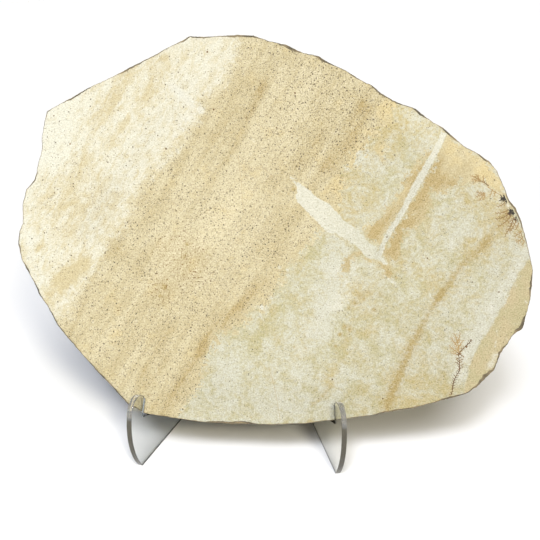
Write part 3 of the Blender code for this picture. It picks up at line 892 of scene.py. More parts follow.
def triangulated(outline, extra, shapes):
    """Triangles inside an outline, through extra points and with the edges of shapes cut into them.

    Gives the points, the triangles, the outline's place of each point (or -1) and each triangle's tone.
    """
    corners = [tuple(place) for place in outline] + [tuple(place) for place in extra]
    count = len(outline)
    edges = []
    for shape, _ in shapes:
        first = len(corners)
        edges += [(first + place, first + (place + 1) % len(shape)) for place in range(len(shape))]
        corners += [tuple(place) for place in shape]
    made = delaunay_2d_cdt([Vector(corner) for corner in corners], edges, [list(range(count))],
                           TRIANGLES_INSIDE, MERGED_WITHIN_MM)
    points = np.array([tuple(place) for place in made[0]])
    triangles = np.array(made[2])
    on_outline = np.array([min([index for index in given if index < count], default=-1)
                           for given in made[3]])
    return points, triangles, on_outline, shape_tones(points[triangles].mean(axis=1), shapes)


def shape_tones(centres, shapes):
    """The tone of the darkest shape that each centre lies in, or 0."""
    tones = np.zeros(len(centres))
    for shape, tone in shapes:
        near = np.flatnonzero(((centres > shape.min(axis=0)) & (centres < shape.max(axis=0))).all(axis=1))
        inside = near[lies_within(centres[near], shape)]
        tones[inside] = np.maximum(tones[inside], tone)
    return tones


def pulled_in(points, outline, margin):
    """Some points, with those that lie past an outline, or too near it, moved in to a margin from it."""
    sides = np.roll(outline, -1, axis=0) - outline
    distance = signed_distance(points, outline)
    moved = points.copy()
    for place in np.flatnonzero(distance > -margin):
        shares = ((points[place] - outline) * sides).sum(axis=1) / (sides ** 2).sum(axis=1)
        feet = outline + np.clip(shares, 0.0, 1.0)[:, None] * sides
        foot = feet[np.argmin(np.hypot(*(feet - points[place]).T))]
        moved[place] = foot + (foot - points[place]) / distance[place] * margin
    return moved


def shapes_within(shapes, outline, margin):
    """The shapes inside an outline, clear of it by a margin. Where they pass it they are pulled in."""
    corners = pulled_in(np.concatenate([shape for shape, _ in shapes]), outline, PULLED_IN * margin)
    clear = clear_within(corners, outline, margin)
    ends = np.cumsum([len(shape) for shape, _ in shapes])
    return [(corners[end - len(shape):end], tone) for (shape, tone), end in zip(shapes, ends)
            if clear[end - len(shape):end].all()]


def rim_triangles(ring_count, count):
    """Two triangles for each step along each strip between two rings."""
    strips = []
    for row in range(ring_count - 1):
        first = row * count + np.arange(count)
        after = row * count + (np.arange(count) + 1) % count
        strips.append(np.stack([first, after, after + count], axis=1))
        strips.append(np.stack([first, after + count, first + count], axis=1))
    return np.concatenate(strips)


def slab_mesh():
    """The slab's points (right, up, depth) in millimetres, its triangles, and what lies on them.

    That is which points are on the rim and on the back, each triangle's tone of dendrite, and where
    its corners lie in the UV map for the colours.
    """
    rings = rim_rings()
    count = len(rings[0][0])
    made = len(rings) * count
    points = [np.column_stack(ring) for ring in rings]
    triangles = [rim_triangles(len(rings), count)]
    tones = [np.zeros(len(triangles[0]))]
    on_rim = [np.arange(made) >= count]
    on_back = [np.arange(made) >= made - count]
    dendrites = shapes_within(dendrite_shapes(), rings[0][0], DENDRITES_CLEAR_MM)
    faces = ((rings[0][0], FACE_GRID_MM, dendrites, face_relief, 0),
             (rings[-1][0], BACK_GRID_MM, [], back_depth, made - count))
    for side, (outline, step, shapes, depth, first_on_outline) in enumerate(faces):
        extra = grid_within(outline, step, GRID_CLEARANCE * step)
        places, cut, on_outline, tone = triangulated(outline, extra, shapes)
        new = on_outline < 0
        index = np.where(new, made + np.cumsum(new) - 1, first_on_outline + on_outline)
        points.append(np.column_stack([places[new], depth(places[new])]))
        made += new.sum()
        triangles.append(index[cut])
        tones.append(tone)
        on_rim.append(np.full(new.sum(), False))
        on_back.append(np.full(new.sum(), side == 1))
    points = np.concatenate(points)
    triangles = np.concatenate(triangles)
    fields = {"rim": np.concatenate(on_rim), "back": np.concatenate(on_back)}
    return (points, triangles, fields, np.concatenate(tones),
            colour_map(points, triangles, count, len(rings)))


def set_attribute(mesh, name, values, domain="POINT"):
    """Keep numbers or vectors on a mesh, where a material finds them by name."""
    kind, key = ("FLOAT_VECTOR", "vector") if values.ndim == 2 else ("FLOAT", "value")
    made = mesh.attributes.new(name, kind, domain)
    made.data.foreach_set(key, values.astype(np.float32).ravel())


def colour_map(places, triangles, step_count, ring_count):
    """Where each triangle's corners lie in the UV map that the colours are kept in.

    The face has most of it. Above it lie the back, smaller, and the rim, unrolled in strips.
    """
    low = places[:, :2].min(axis=0)
    span = places[:, :2].max(axis=0) - low
    flat = ((places[:, :2] - low) / span.max())[triangles]
    width = 1.0 - 2.0 * MAP_EDGE
    on_rim = 2 * step_count * (ring_count - 1)
    corners = MAP_EDGE + width * flat
    behind = places[triangles, 2].mean(axis=1) > THICKNESS_MM / 2.0
    corners[behind] = MAP_EDGE + np.array([0.0, MAP_SHELF]) + MAP_BACK_WIDTH * flat[behind]
    ring, step = np.divmod(triangles[:on_rim], step_count)
    step = np.where(step.max(axis=1, keepdims=True) - step > step_count / 2, step + step_count, step)
    lane = step.min(axis=1, keepdims=True) * MAP_STRIPS // step_count
    along = step * MAP_STRIPS / step_count - lane
    left = 3.0 * MAP_EDGE + MAP_BACK_WIDTH
    height = (width - MAP_SHELF) / MAP_STRIPS
    up = MAP_EDGE + MAP_SHELF + (lane + MAP_STRIP_FILL * ring / ring_count) * height
    corners[:on_rim] = np.stack([left + (width - left) * along, up], axis=2)
    return corners


def finished(mesh, bm, sharp_angle, *materials):
    """The object of a mesh that is filled from bm, and smooth but for its sharp edges."""
    bm.to_mesh(mesh)
    bm.free()
    mesh.shade_smooth()
    mesh.set_sharp_from_angle(angle=sharp_angle)
    for material in materials:
        mesh.materials.append(material)
    made = bpy.data.objects.new(mesh.name, mesh)
    bpy.context.scene.collection.objects.link(made)
    return made


def make_slab(stone):
    """The limestone slab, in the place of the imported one."""
    places, triangles, fields, tones, corners = slab_mesh()
    axes = np.array([FACE_RIGHT, INTO_STONE, FACE_UP])
    world = np.array(ORIGIN) + (places[:, [0, 2, 1]] @ axes) * MM
    world = np.clip(world, *np.array(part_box("fossil_slab")))
    mesh = bpy.data.meshes.new("limestone_slab")
    mesh.from_pydata(world.tolist(), [], triangles.tolist())
    mesh.uv_layers.new(name="OFBake").uv.foreach_set("vector", corners.astype(np.float32).ravel())
    set_attribute(mesh, "place_mm", places)
    set_attribute(mesh, "dendrite", tones, "FACE")
    for name, values in (stone_fields(places[:, :2]) | fields).items():
        set_attribute(mesh, name, values)
    bm = bmesh.new()
    bm.from_mesh(mesh)
    bmesh.ops.recalc_face_normals(bm, faces=bm.faces)
    slab = finished(mesh, bm, SLAB_SHARP_ANGLE, stone)
    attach(slab, "root")
    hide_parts("fossil_slab")
    return slab


# ---- Materials: how node trees are written ----

# A kind of noise. The size is that of its lumps, in millimetres on the stone and in metres elsewhere,
# and the strength is how far it swings about zero, where it does.
Noise = namedtuple("Noise", "size detail roughness distortion strength", defaults=(0.0, 1.0))


def colour(red, green, blue):
    """A colour from its values on a screen, 0 to 255, as the shaders want it."""
    return tuple((value / 255 / 12.92) if value <= 10 else ((value / 255 + 0.055) / 1.055) ** 2.4
                 for value in (red, green, blue)) + (1.0,)


def feed(socket, value):
    """Link a Value to an input, or set a plain number, vector or colour there."""
    if isinstance(value, Value):
        value.tree.links.new(value.output, socket)
    else:
        socket.default_value = value


def new_node(tree, kind, inputs, **settings):
    """A new node with the given inputs, by name or by number, and the given settings."""
    node = tree.nodes.new(kind)
    for name, setting in settings.items():
        setattr(node, name, setting)
    for key, value in inputs.items():
        feed(node.inputs[key], value)
    return node


class Value:
    """What a node gives. A sum, a step or a pattern of Values adds the node that works it out."""

    def __init__(self, output):
        self.output = output
        self.tree = output.id_data

    def made(self, kind, inputs, output=0, **settings):
        """What a new node in the same tree gives."""
        return Value(new_node(self.tree, kind, inputs, **settings).outputs[output])

    def sum(self, operation, other):
        """A sum of this value and another, of the kind that Blender calls by this name."""
        return self.made("ShaderNodeMath", {0: self, 1: other}, operation=operation)

    def __add__(self, other):
        return self.sum("ADD", other)

    def __sub__(self, other):
        return self.sum("SUBTRACT", other)

    def __mul__(self, other):
        return self.sum("MULTIPLY", other)

    def __truediv__(self, other):
        return self.sum("DIVIDE", other)

    def step(self, ends):
        """A smooth step, from 0 at the first end to 1 at the second."""
        inputs = {"Value": self, "From Min": ends[0], "From Max": ends[1]}
        return self.made("ShaderNodeMapRange", inputs, interpolation_type="SMOOTHSTEP")

    def mix(self, first, second):
        """The colour that is this share of the way from the first to the second."""
        return self.made("ShaderNodeMix", {0: self, 6: first, 7: second}, 2, data_type="RGBA")

    def parts(self):
        """The three numbers of a vector or a colour."""
        node = new_node(self.tree, "ShaderNodeSeparateXYZ", {0: self})
        return [Value(output) for output in node.outputs]

    def placed(self, turn, size):
        """Places turned about the face's depth, then divided by the size of the pattern's lumps."""
        inputs = {"Vector": self, "Rotation": (0.0, 0.0, turn), "Scale": size}
        return self.made("ShaderNodeMapping", inputs, vector_type="TEXTURE")

    def noise(self, kind):
        """Noise of this kind at these places, from 0 to 1."""
        inputs = {"Vector": self, "Scale": 1.0 / kind.size, "Detail": kind.detail,
                  "Roughness": kind.roughness, "Distortion": kind.distortion}
        return self.made("ShaderNodeTexNoise", inputs)

    def swing(self, kind):
        """Noise that swings evenly about zero."""
        return (self.noise(kind) - 0.5) * kind.strength


def field(tree, name, output="Fac"):
    """One of the mesh's fields: a number, or three of them if the output is Vector."""
    return Value(new_node(tree, "ShaderNodeAttribute", {}, attribute_name=name).outputs[output])


def object_places(tree):
    """Places in metres on the object that has the material."""
    return Value(new_node(tree, "ShaderNodeTexCoord", {}).outputs["Object"])


def new_material(name):
    """A material with its node tree and its shader."""
    material = bpy.data.materials.new(name)
    material.use_nodes = True
    return material, material.node_tree, material.node_tree.nodes["Principled BSDF"]


# ---- The limestone ----

CREAM = colour(184, 181, 165)
CREAM_TAN = colour(167, 155, 121)
TAN_PINK = colour(173, 163, 133)
TAN = colour(161, 149, 115)
TAN_GOLD = colour(171, 156, 116)
OCHRE = colour(149, 132, 90)
PALE = colour(168, 166, 150)
PALE_GOLD = colour(156, 143, 101)
PALE_OLIVE = colour(150, 143, 106)
OLIVE = colour(157, 148, 113)
OLIVE_TAN = colour(164, 151, 118)
PRINT = colour(179, 177, 163)
WHITE = colour(184, 182, 170)
RUST = colour(144, 127, 82)
SPECK = colour(70, 58, 42)
SPECK_RUST = colour(108, 76, 32)
DENDRITE_TAN = colour(140, 115, 71)
DENDRITE_BROWN = colour(86, 58, 26)
DENDRITE_BLACK = colour(24, 18, 9)
# The rim's dark is weathered stone and partly painted shade: the thin dark line of shade round the face.
RIM_DARK = colour(70, 64, 50)
RIM_LIGHT = colour(146, 130, 100)
BACK_LIGHT = colour(190, 178, 150)
BACK_DARK = colour(160, 142, 104)

RAGGED_EDGES = Noise(5.5, 6.0, 0.68, 0.4)
CRUMBS = Noise(1.9, 3.0, 0.54, strength=1.15)
GRAIN = Noise(0.85, 3.0, 0.6)
COARSE_GRAIN = Noise(2.2, 3.0, 0.6, strength=0.30)
TAN_STREAKS = Noise(4.5, 4.0, 0.58, 0.3, strength=1.85)
TAN_CLOUDS = Noise(15.0, 5.0, 0.60, 0.3, strength=1.45)
TAN_GOLDS = Noise(11.0, 4.0, 0.6, strength=2.0)
CREAM_MOTTLES = Noise(4.2, 5.0, 0.66, 0.5, strength=2.9)
PALE_CLUMPS = Noise(8.0, 6.0, 0.66, 0.6, strength=1.08)
PALE_GOLDS = Noise(17.0, 4.0, 0.6, strength=2.2)
OLIVE_CLOUDS = Noise(12.0, 4.0, 0.6)
RUSTY_CLOUDS = Noise(20.0, 2.0, 0.5)
RIM_BEDS = Noise(1.1, 4.0, 0.6, 0.3)
RIM_CLOUDS = Noise(7.0, 5.0, 0.6)
BACK_CLOUDS = Noise(30.0, 6.0, 0.62, 0.8)
BACK_MOTTLES = Noise(2.5, 4.0, 0.6)
FINE_BUMPS = Noise(0.55, 4.0, 0.65)
COARSE_BUMPS = Noise(1.6, 5.0, 0.7)

# How long a pattern's lumps are along the banding, across it and into the stone.
TAN_STRETCH = (12.0, 1.0, 1.0)
CREAM_STRETCH = (1.8, 1.0, 1.0)
RIM_STRETCH = (14.0, 14.0, 1.0)
ON_THE_FACE = (1.0, 1.0, 1000.0)

# Between which two sums a colour comes in.
TAN_STEP = (-0.3, 0.7)
TAN_GOLD_STEP = (0.35, 0.9)
OCHRE_STEP = (0.55, 1.45)
CREAM_TAN_STEP = (-0.45, 1.10)
PALE_GOLD_STEP = (0.1, 0.8)
PALE_CRUMB_STEP = (-0.25, 0.29)
BAND_EDGE_STEP = (1.0, -1.0)
OLIVE_TAN_STEP = (0.38, 0.66)
OLIVE_EDGE_STEP = (0.8, -0.8)
RUST_STEP = (0.0, 1.1)
WHITE_STEP = (0.1, 0.9)
PRINT_GREY_STEP = (-0.1, 0.45)
PRINT_EDGE_STEP = (0.45, -0.45)
SPECK_RUST_STEP = (0.05, 0.7)
DENDRITE_BROWN_STEP = (0.40, 0.78)
DENDRITE_BLACK_STEP = (0.74, 0.98)
DENDRITE_EDGE_STEP = (0.05, 0.30)
DENDRITE_GRAIN_STEP = (0.10, 0.42)
DENDRITE_WORN_STEP = (0.95, 0.75)
RIM_EDGE_STEP = (0.10, 0.45)
RIM_LIGHT_STEP = (0.55, 1.05)
BACK_DARK_STEP = (0.65, 1.25)

# The print is greyer towards the wing's foot, and the stripe past it isn't.
WING_GREYS_FROM_TO_MM = (22.0, 62.0)
WING_FOOT_ENDS_FROM_TO_MM = (71.0, 64.0)

# Specks: the size of their cells and their radius, both in millimetres, and which scatter they are.
FINE_SPECKS = (0.88, 0.31, 1)
COARSE_SPECKS = (1.9, 0.45, 2)
BACK_SPECKS = (1.9, 0.45, 3)
BACK_SPECK_DENSITY = 0.3
SPECK_SHIFT_MM = (37.0, 91.0)
SPECK_EDGE = (-0.05, 0.07)
SPECK_CHANCE = (0.0, 0.02)
SPECK_SIZES = (0.6, 0.5)  # shares of the radius: what chance adds, and the least

# The share of the stone's colour that each of these covers.
WHITE_COVER = 0.75
PRINT_COVER = 0.92
FINE_SPECK_COVER = 0.64
COARSE_SPECK_COVER = 0.92

SAND_LIGHT = 0.18  # how much a grain of sand adds to the stone's colour, or takes from it
STONE_ROUGHNESS = 0.55
STONE_SPECULAR = 0.35
BUMP_DEPTH = 0.08 * MM


def speck_layer(flat, kind, density):
    """Round specks scattered in cells. Only a share of the cells, the density, has one."""
    cell, radius, scatter = kind
    shift = (SPECK_SHIFT_MM[0] * scatter, SPECK_SHIFT_MM[1] * scatter, 0.0)
    shifted = flat.made("ShaderNodeVectorMath", {0: flat, 1: shift}, operation="ADD")
    cells = new_node(flat.tree, "ShaderNodeTexVoronoi", {"Vector": shifted, "Scale": 1.0 / cell})
    red, green, _ = Value(cells.outputs["Color"]).parts()
    wanted = (red * -1.0 + density).step(SPECK_CHANCE)
    reach = (green * SPECK_SIZES[0] + SPECK_SIZES[1]) * (radius / cell)
    return (reach - Value(cells.outputs["Distance"])).step(SPECK_EDGE) * wanted


def tan_colour(tree, flat, ochre, crumbs):
    """The specked tan band: long streaks along the banding between pinkish tan and ochre."""
    streaks = flat.placed(BAND_ANGLE, TAN_STRETCH).swing(TAN_STREAKS)
    tone = streaks + flat.swing(TAN_CLOUDS) + (ochre * 1.6 + 0.24) + crumbs * 0.7
    golden = flat.swing(TAN_GOLDS) + field(tree, "gold")
    tan = tone.step(TAN_STEP).mix(TAN_PINK, TAN)
    tan = golden.step(TAN_GOLD_STEP).mix(tan, TAN_GOLD)
    return tone.step(OCHRE_STEP).mix(tan, OCHRE)


def cream_colour(flat, ochre):
    """The cream left part, with soft tan mottles drawn out along the banding."""
    tone = flat.placed(BAND_ANGLE, CREAM_STRETCH).swing(CREAM_MOTTLES) + (ochre * 1.5 + 0.10)
    return tone.step(CREAM_TAN_STEP).mix(CREAM, CREAM_TAN)


def pale_colour(tree, flat, crumbs):
    """The pale right part, crowded with crumbs of olive and gold where the mottle field says so."""
    cover = field(tree, "mottle") * 0.5 - 0.235
    share = crumbs * 0.55 + flat.swing(PALE_CLUMPS) + cover
    golden = flat.swing(PALE_GOLDS) + field(tree, "gold")
    crumb = golden.step(PALE_GOLD_STEP).mix(PALE_OLIVE, PALE_GOLD)
    return share.step(PALE_CRUMB_STEP).mix(PALE, crumb)


def bedded_colour(tree, flat, ragged, crumbs):
    """The cream part, the pale part, the tan band between them and the olive strip."""
    ochre = field(tree, "ochre")
    tan_mm, softness, raggedness = field(tree, "tan_edge", "Vector").parts()
    band_edge = ((crumbs * 0.6 + ragged) * raggedness + tan_mm) / softness
    base = field(tree, "pale_side").mix(cream_colour(flat, ochre), pale_colour(tree, flat, crumbs))
    base = band_edge.step(BAND_EDGE_STEP).mix(base, tan_colour(tree, flat, ochre, crumbs))
    browned = crumbs * 0.25 + flat.noise(OLIVE_CLOUDS)
    olive = browned.step(OLIVE_TAN_STEP).mix(OLIVE, OLIVE_TAN)
    olive_edge = ragged * 4.0 + field(tree, "olive_mm")
    return olive_edge.step(OLIVE_EDGE_STEP).mix(base, olive)


def with_stains(tree, base, ragged, crumbs):
    """Rust in lines and spots, and white ones over it."""
    rust = field(tree, "rust") * (crumbs * 1.5 + 1.0)
    base = rust.step(RUST_STEP).mix(base, RUST)
    whitened = ragged * 2.0 + field(tree, "white")
    return (whitened.step(WHITE_STEP) * WHITE_COVER).mix(base, WHITE)


def with_print(tree, flat, base, ragged, crumbs):
    """The insect's bleached print."""
    edge = crumbs * 2.0 + field(tree, "print_mm")
    across = flat.parts()[0]
    to_foot = across.step(WING_GREYS_FROM_TO_MM) * across.step(WING_FOOT_ENDS_FROM_TO_MM)
    greyed = to_foot * 0.35 + (ragged + crumbs)
    bleached = greyed.step(PRINT_GREY_STEP).mix(PRINT, PALE)
    return (edge.step(PRINT_EDGE_STEP) * PRINT_COVER).mix(base, bleached)


def with_sand(tree, flat, base, grain):
    """Grains lighter and darker than the stone, stronger where the specks crowd."""
    sand = (grain - 0.5) * 1.20 + flat.swing(COARSE_GRAIN)
    sand = sand * (field(tree, "specks") * 0.3 + 1.04)
    # the lightness field carries the painted shade towards the lower right
    gain = sand * 0.45 + field(tree, "lightness_and_shade")
    return base.made("ShaderNodeVectorMath", {0: base, 1: gain, 2: sand * SAND_LIGHT},
                     operation="MULTIPLY_ADD")


def with_specks(tree, flat, base):
    """Fine and coarse specks, dark brown or rusty. Gives the colour, and where the specks are."""
    density = field(tree, "specks")
    rusty = flat.swing(RUSTY_CLOUDS) + field(tree, "rusty_specks")
    tone = rusty.step(SPECK_RUST_STEP).mix(SPECK, SPECK_RUST)
    fine = speck_layer(flat, FINE_SPECKS, density * 1.25 + 0.05)
    coarse = speck_layer(flat, COARSE_SPECKS, density * 0.92 - 0.05)
    base = (fine * FINE_SPECK_COVER).mix(base, tone)
    base = (coarse * COARSE_SPECK_COVER).mix(base, tone)
    return base, fine.sum("MAXIMUM", coarse)


def with_dendrites(tree, base, grain):
    """The dendrites' ink, broken up by the grain and worn off where the stone is whitest."""
    dendrite = field(tree, "dendrite")
    ink = dendrite.step(DENDRITE_BROWN_STEP).mix(DENDRITE_TAN, DENDRITE_BROWN)
    ink = dendrite.step(DENDRITE_BLACK_STEP).mix(ink, DENDRITE_BLACK)
    cover = dendrite.step(DENDRITE_EDGE_STEP) * grain.step(DENDRITE_GRAIN_STEP)
    return (cover * field(tree, "white").step(DENDRITE_WORN_STEP)).mix(base, ink)


def face_colour(tree, place):
    """The colour of the slab's face, from the fields and from noise; also its grain and its specks."""
    flat = place.placed(0.0, ON_THE_FACE)
    ragged = flat.swing(RAGGED_EDGES)
    crumbs = flat.swing(CRUMBS)
    grain = flat.noise(GRAIN)
    base = bedded_colour(tree, flat, ragged, crumbs)
    base = with_stains(tree, base, ragged, crumbs)
    base = with_print(tree, flat, base, ragged, crumbs)
    base = with_sand(tree, flat, base, grain)
    base, specks = with_specks(tree, flat, base)
    return with_dendrites(tree, base, grain), grain, specks


def rim_colour(place):
    """The broken edge: weathered brown-grey stone with thin beds along the slab. Its darkest tone is
    partly painted shade: the thin dark line round the face.
    """
    tone = place.noise(RIM_CLOUDS) * 0.9 + place.placed(0.0, RIM_STRETCH).noise(RIM_BEDS) * 0.6
    return tone.step(RIM_LIGHT_STEP).mix(RIM_DARK, RIM_LIGHT)


def back_colour(place, grain):
    """The split back: uneven cream and ochre with a fine grain, and a few specks."""
    tone = place.noise(BACK_MOTTLES) * 0.35 + place.noise(BACK_CLOUDS) + grain * 0.45
    stone = tone.step(BACK_DARK_STEP).mix(BACK_LIGHT, BACK_DARK)
    return speck_layer(place.placed(0.0, ON_THE_FACE), BACK_SPECKS, BACK_SPECK_DENSITY).mix(stone, SPECK)


def limestone():
    """The stone's material, on the face, the broken rim and the split back."""
    material, tree, shader = new_material("limestone_looks")
    place = field(tree, "place_mm", "Vector")
    face, grain, specks = face_colour(tree, place)
    back = field(tree, "back")
    rim = field(tree, "rim").step(RIM_EDGE_STEP)
    look = back.mix(face, back_colour(place, grain))
    feed(shader.inputs["Base Color"], rim.mix(look, rim_colour(place)))
    fine = place.noise(FINE_BUMPS)
    feed(shader.inputs["Roughness"], fine * 0.25 + STONE_ROUGHNESS)
    coarse = place.noise(COARSE_BUMPS) * ((rim + back) * 3.0 + 0.3)
    height = fine * 0.5 + grain - specks * 0.8 + coarse
    bump = height.made("ShaderNodeBump", {"Height": height, "Distance": BUMP_DEPTH})
    feed(shader.inputs["Normal"], bump)
    shader.inputs["Specular IOR Level"].default_value = STONE_SPECULAR
    return material


# ---- The acrylic ----

ACRYLIC_IOR = 1.49
ACRYLIC_TINT = colour(243, 244, 240)
# The sawn edges are frosted, and painted dark with the shade they show below the slab's foot. On the hooks
# above it they are clear.
CUT_SHADED_TINT = colour(180, 171, 147)
CUT_CLEAR_TINT = colour(244, 243, 238)
CUT_CLEARNESS = 0.86
POLISHED = (0.0, 0.05)  # roughness where it is cleanest, and where it is most smudged
SAWN = (0.06, 0.16)  # likewise
ABSORBED_COLOUR = (0.66, 0.62, 0.48, 1.0)
ABSORPTION = 7.0
SMUDGES = Noise(12.0 * MM, 4.0, 0.6, 0.5)
SMUDGE_STEP = (0.4, 0.8)
# Between these heights the cut edges' painted shade gives way to the clear tint of the hooks.
SHADE_TO_CLEAR_FROM_TO = (37.0 * MM, 38.5 * MM)  # the heights between which the hooks' tint comes in


def acrylic(name, roughnesses, clearness, tint, clear_tint=None):
    """Clear plastic with smudges. Given a clear tint, the first tint, darkened with painted shade, is used
    below the hooks, and the clear one on them.
    """
    material, tree, shader = new_material(name)
    smooth, rough = roughnesses
    place = object_places(tree)
    if clear_tint:
        tint = place.parts()[2].step(SHADE_TO_CLEAR_FROM_TO).mix(tint, clear_tint)
    feed(shader.inputs["Base Color"], tint)
    smudged = place.noise(SMUDGES).step(SMUDGE_STEP)
    feed(shader.inputs["Roughness"], smudged * (rough - smooth) + smooth)
    shader.inputs["Transmission Weight"].default_value = clearness
    shader.inputs["IOR"].default_value = ACRYLIC_IOR
    inputs = {"Color": ABSORBED_COLOUR, "Density": ABSORPTION}
    absorption = place.made("ShaderNodeVolumeAbsorption", inputs)
    feed(tree.nodes["Material Output"].inputs["Volume"], absorption)
    return material


# ---- The easel ----

SHEET = 3.2 * MM
TOE_GAP = 118.0 * MM
WING_FLARE = math.radians(15.5)
WING_LENGTH = 92.0 * MM
EASEL_HEIGHT = 160.0 * MM
BEND_RADIUS = 7.0 * MM
FRONT_ARC_RADIUS = 46.8 * MM
FRONT_ARC_CENTRE = Vector((-36.1 * MM, 30.1 * MM))
HOOK_RADIUS = 9.3 * MM
HOOK_TANGENT = math.radians(14.0)
HOOK_END = math.radians(160.0)
LEDGE_FRONT = Vector((-4.4 * MM, 32.4 * MM))
SLOT_WIDTH = (THICKNESS_MM + 1.8) * MM
SHOULDER_RADIUS = 14.0 * MM
ARC_STEP = math.radians(3.0)
EDGE_BEVEL = 0.22 * MM
BEND_TURN = math.pi / 2.0 - WING_FLARE
BEND_STEPS = 24
EASEL_SHARP_ANGLE = math.radians(20.0)


def arc(centre, radius, start, end):
    """Points on an arc, both ends included."""
    steps = max(2, math.ceil(abs(end - start) / ARC_STEP))
    angles = [start + (end - start) * step / steps for step in range(steps + 1)]
    return [centre + radius * Vector((math.cos(angle), math.sin(angle))) for angle in angles]


def wing_outline():
    """A wing's cut edge from the toe to the rear end of the top, measured from the toe."""
    toe_angle = -math.asin(FRONT_ARC_CENTRE.y / FRONT_ARC_RADIUS)
    tangent = Vector((math.cos(HOOK_TANGENT), math.sin(HOOK_TANGENT)))
    hook_centre = FRONT_ARC_CENTRE + (FRONT_ARC_RADIUS - HOOK_RADIUS) * tangent
    front = arc(FRONT_ARC_CENTRE, FRONT_ARC_RADIUS, toe_angle, HOOK_TANGENT)
    hook = arc(hook_centre, HOOK_RADIUS, HOOK_TANGENT, HOOK_END)
    up = Vector((-math.tan(SLAB_LEAN) / math.cos(WING_FLARE), 1.0)).normalized()
    along_ledge = Vector((-1.0, -math.tan(SLAB_LEAN) * math.cos(WING_FLARE))).normalized()
    ledge_back = LEDGE_FRONT + along_ledge * SLOT_WIDTH / math.cos(WING_FLARE)
    corner = ledge_back + up * (EASEL_HEIGHT - ledge_back.y) / up.y
    turn = math.atan2(up.y, -up.x)
    shoulder_x = corner.x - SHOULDER_RADIUS * math.tan(turn / 2.0)
    shoulder_centre = Vector((shoulder_x, EASEL_HEIGHT - SHOULDER_RADIUS))
    shoulder = arc(shoulder_centre, SHOULDER_RADIUS, math.pi / 2.0 - turn, math.pi / 2.0)
    return front + hook[1:] + [LEDGE_FRONT, ledge_back] + shoulder


def sheet_half():
    """Half the back's flat width, and half the whole pattern's width, along the sheet."""
    toe_x = TOE_GAP / 2.0 + SHEET / 2.0 * math.cos(WING_FLARE)
    flat = toe_x - BEND_RADIUS * math.sin(BEND_TURN) - WING_LENGTH * math.cos(BEND_TURN)
    return flat, flat + BEND_RADIUS * BEND_TURN + WING_LENGTH


def bent(point, flat):
    """Where a point of the flat pattern, (along, through, height), lies on the bent sheet."""
    side = math.copysign(1.0, point.x)
    along = abs(point.x)
    angle = min(max((along - flat) / BEND_RADIUS, 0.0), BEND_TURN)
    straight = max(along - flat - BEND_RADIUS * BEND_TURN, 0.0)
    x = min(along, flat) + BEND_RADIUS * math.sin(angle) + straight * math.cos(angle)
    y = -BEND_RADIUS * (1.0 - math.cos(angle)) - straight * math.sin(angle)
    return Vector((side * (x + point.y * math.sin(angle)), y + point.y * math.cos(angle), point.z))


def cut_pattern(flat, half):
    """The flat pattern as a solid sheet, with eased edges and with cross lines where it will bend."""
    right = [Vector((half + point.x, point.y)) for point in wing_outline()]
    left = [Vector((-point.x, point.y)) for point in reversed(right)]
    bm = bmesh.new()
    bm.faces.new([bm.verts.new((point.x, -SHEET / 2.0, point.y)) for point in right + left])
    thick = bmesh.ops.extrude_face_region(bm, geom=bm.faces[:])
    moved = [item for item in thick["geom"] if isinstance(item, bmesh.types.BMVert)]
    bmesh.ops.translate(bm, verts=moved, vec=(0.0, SHEET, 0.0))
    bmesh.ops.recalc_face_normals(bm, faces=bm.faces)
    outline = [edge for edge in bm.edges if abs(edge.verts[0].co.y - edge.verts[1].co.y) < SHEET / 2.0]
    bmesh.ops.bevel(bm, geom=outline, offset=EDGE_BEVEL, segments=2, profile=0.5, affect="EDGES")
    for face in bm.faces:
        face.material_index = 1 if abs(face.normal.y) < 0.5 else 0
    for step in range(BEND_STEPS + 1):
        along = flat + BEND_RADIUS * BEND_TURN * step / BEND_STEPS
        for side in (-1.0, 1.0):
            bmesh.ops.bisect_plane(bm, geom=bm.verts[:] + bm.edges[:] + bm.faces[:],
                                   plane_co=(side * along, 0.0, 0.0), plane_no=(1.0, 0.0, 0.0))
    return bm


def make_easel(plastic, cut_plastic):
    """One sheet: the pattern is cut, its edges are eased, and it is bent along two upright lines."""
    flat, half = sheet_half()
    bm = cut_pattern(flat, half)
    for corner in bm.verts:
        corner.co = bent(corner.co, flat)
    bmesh.ops.triangulate(bm, faces=bm.faces)
    mesh = bpy.data.meshes.new("acrylic_easel")
    easel = finished(mesh, bm, EASEL_SHARP_ANGLE, plastic, cut_plastic)
    low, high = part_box("easel")
    easel_low = min(corner.co.y for corner in mesh.vertices)
    easel.location = ((low.x + high.x) / 2.0, low.y - easel_low, 0.0)
    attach(easel, "root")
    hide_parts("easel")


# ---- The floor and the light ----

FLOOR_SIZE = 12.0
FLOOR_CENTRE = (0.0, 2.0, 0.0)
FLOOR_CLOUDS = Noise(0.25, 3.0, 0.5)
FLOOR_DARK = colour(237, 237, 237)
FLOOR_LIGHT = colour(239, 239, 239)
FLOOR_ROUGHNESS = 0.9
ROOM_COLOUR = (1.0, 1.0, 0.98, 1.0)
ROOM_STRENGTH = 0.9
LIT_POINT = Vector((0.0, 0.0, 0.1))

# Far lights: turn, elevation and angle across, all in degrees, then strength and tint. Each key
# throws a shadow of its own softness, which the other two tint.
KEYS = {
    "key": (10.3, 49.0, 25.0, 2.58, (1.013, 1.0, 0.985)),
    "cool_key": (-11.2, 48.6, 11.0, 1.50, (0.96, 1.0, 1.12)),
    "warm_key": (24.1, 32.0, 8.4, 1.32, (1.08, 1.0, 0.77)),
}
BEHIND = (170.0, 14.0, 50.0, 0.5, (1.0, 0.99, 0.97))
# A near light: turn and elevation in degrees, distance, side, watts and tint.
LEFT = (-62.0, 12.0, 0.6, 0.4, 0.8, (0.70, 0.84, 1.0))


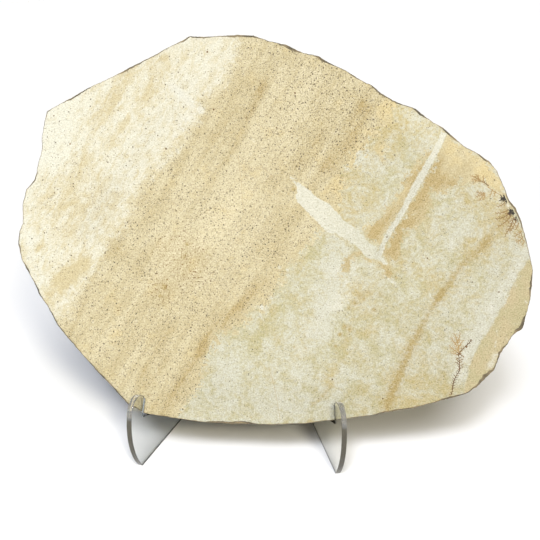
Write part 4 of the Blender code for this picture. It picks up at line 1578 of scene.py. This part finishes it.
def make_floor():
    """A wide white sheet of paper, faintly uneven."""
    material, tree, shader = new_material("floor_looks")
    clouds = object_places(tree).noise(FLOOR_CLOUDS)
    feed(shader.inputs["Base Color"], clouds.mix(FLOOR_DARK, FLOOR_LIGHT))
    shader.inputs["Roughness"].default_value = FLOOR_ROUGHNESS
    shader.inputs["Specular IOR Level"].default_value = 0.0
    bpy.ops.mesh.primitive_plane_add(size=FLOOR_SIZE, location=FLOOR_CENTRE)
    floor = bpy.context.object
    floor.name = "floor"
    floor.data.materials.append(material)


def direction(turn, elevation):
    """The way to a light: its turn to the right of straight ahead, and its height, in degrees."""
    turn, elevation = math.radians(turn), math.radians(elevation)
    level = math.cos(elevation)
    return Vector((level * math.sin(turn), -level * math.cos(turn), math.sin(elevation)))


def new_light(name, kind, way, strength, tint):
    """A light that faces against the way that leads to it."""
    lamp = bpy.data.lights.new(name, kind)
    lamp.energy = strength
    lamp.color = tint
    light = bpy.data.objects.new(name, lamp)
    light.rotation_euler = (-way).to_track_quat("-Z", "Y").to_euler()
    bpy.context.scene.collection.objects.link(light)
    return light


def area_light(name, turn, elevation, distance, side, watts, tint):
    """A near square light that looks at the middle of the slab."""
    way = direction(turn, elevation)
    light = new_light(name, "AREA", way, watts, tint)
    light.data.size = side
    light.location = LIT_POINT + way * distance


def sunlight(name, turn, elevation, spread, strength, tint):
    """A far soft light, of the given angle across."""
    light = new_light(name, "SUN", direction(turn, elevation), strength, tint)
    light.data.angle = math.radians(spread)
    return light


def make_room():
    """A white room that is seen past the floor and in gloss, and lights nothing."""
    world = bpy.data.worlds.new("studio")
    bpy.context.scene.world = world
    world.use_nodes = True
    background = world.node_tree.nodes["Background"]
    background.inputs["Color"].default_value = ROOM_COLOUR
    background.inputs["Strength"].default_value = ROOM_STRENGTH
    world.cycles_visibility.diffuse = False
    world.cycles_visibility.transmission = False


def make_lights(slab):
    """The keys, a light that only the slab's back has, and a cool one from the left."""
    for name, key in KEYS.items():
        sunlight(name, *key)
    linking = sunlight("behind", *BEHIND).light_linking
    linking.receiver_collection = bpy.data.collections.new("lit_from_behind")
    linking.receiver_collection.objects.link(slab)
    linking.blocker_collection = linking.receiver_collection
    area_light("left", *LEFT)


make_camera()
make_floor()
make_room()
make_lights(make_slab(limestone()))
make_easel(acrylic("acrylic_looks", POLISHED, 1.0, ACRYLIC_TINT),
           acrylic("cut_acrylic_looks", SAWN, CUT_CLEARNESS, CUT_SHADED_TINT, CUT_CLEAR_TINT))
bpy.context.scene.view_settings.view_transform = "Standard"
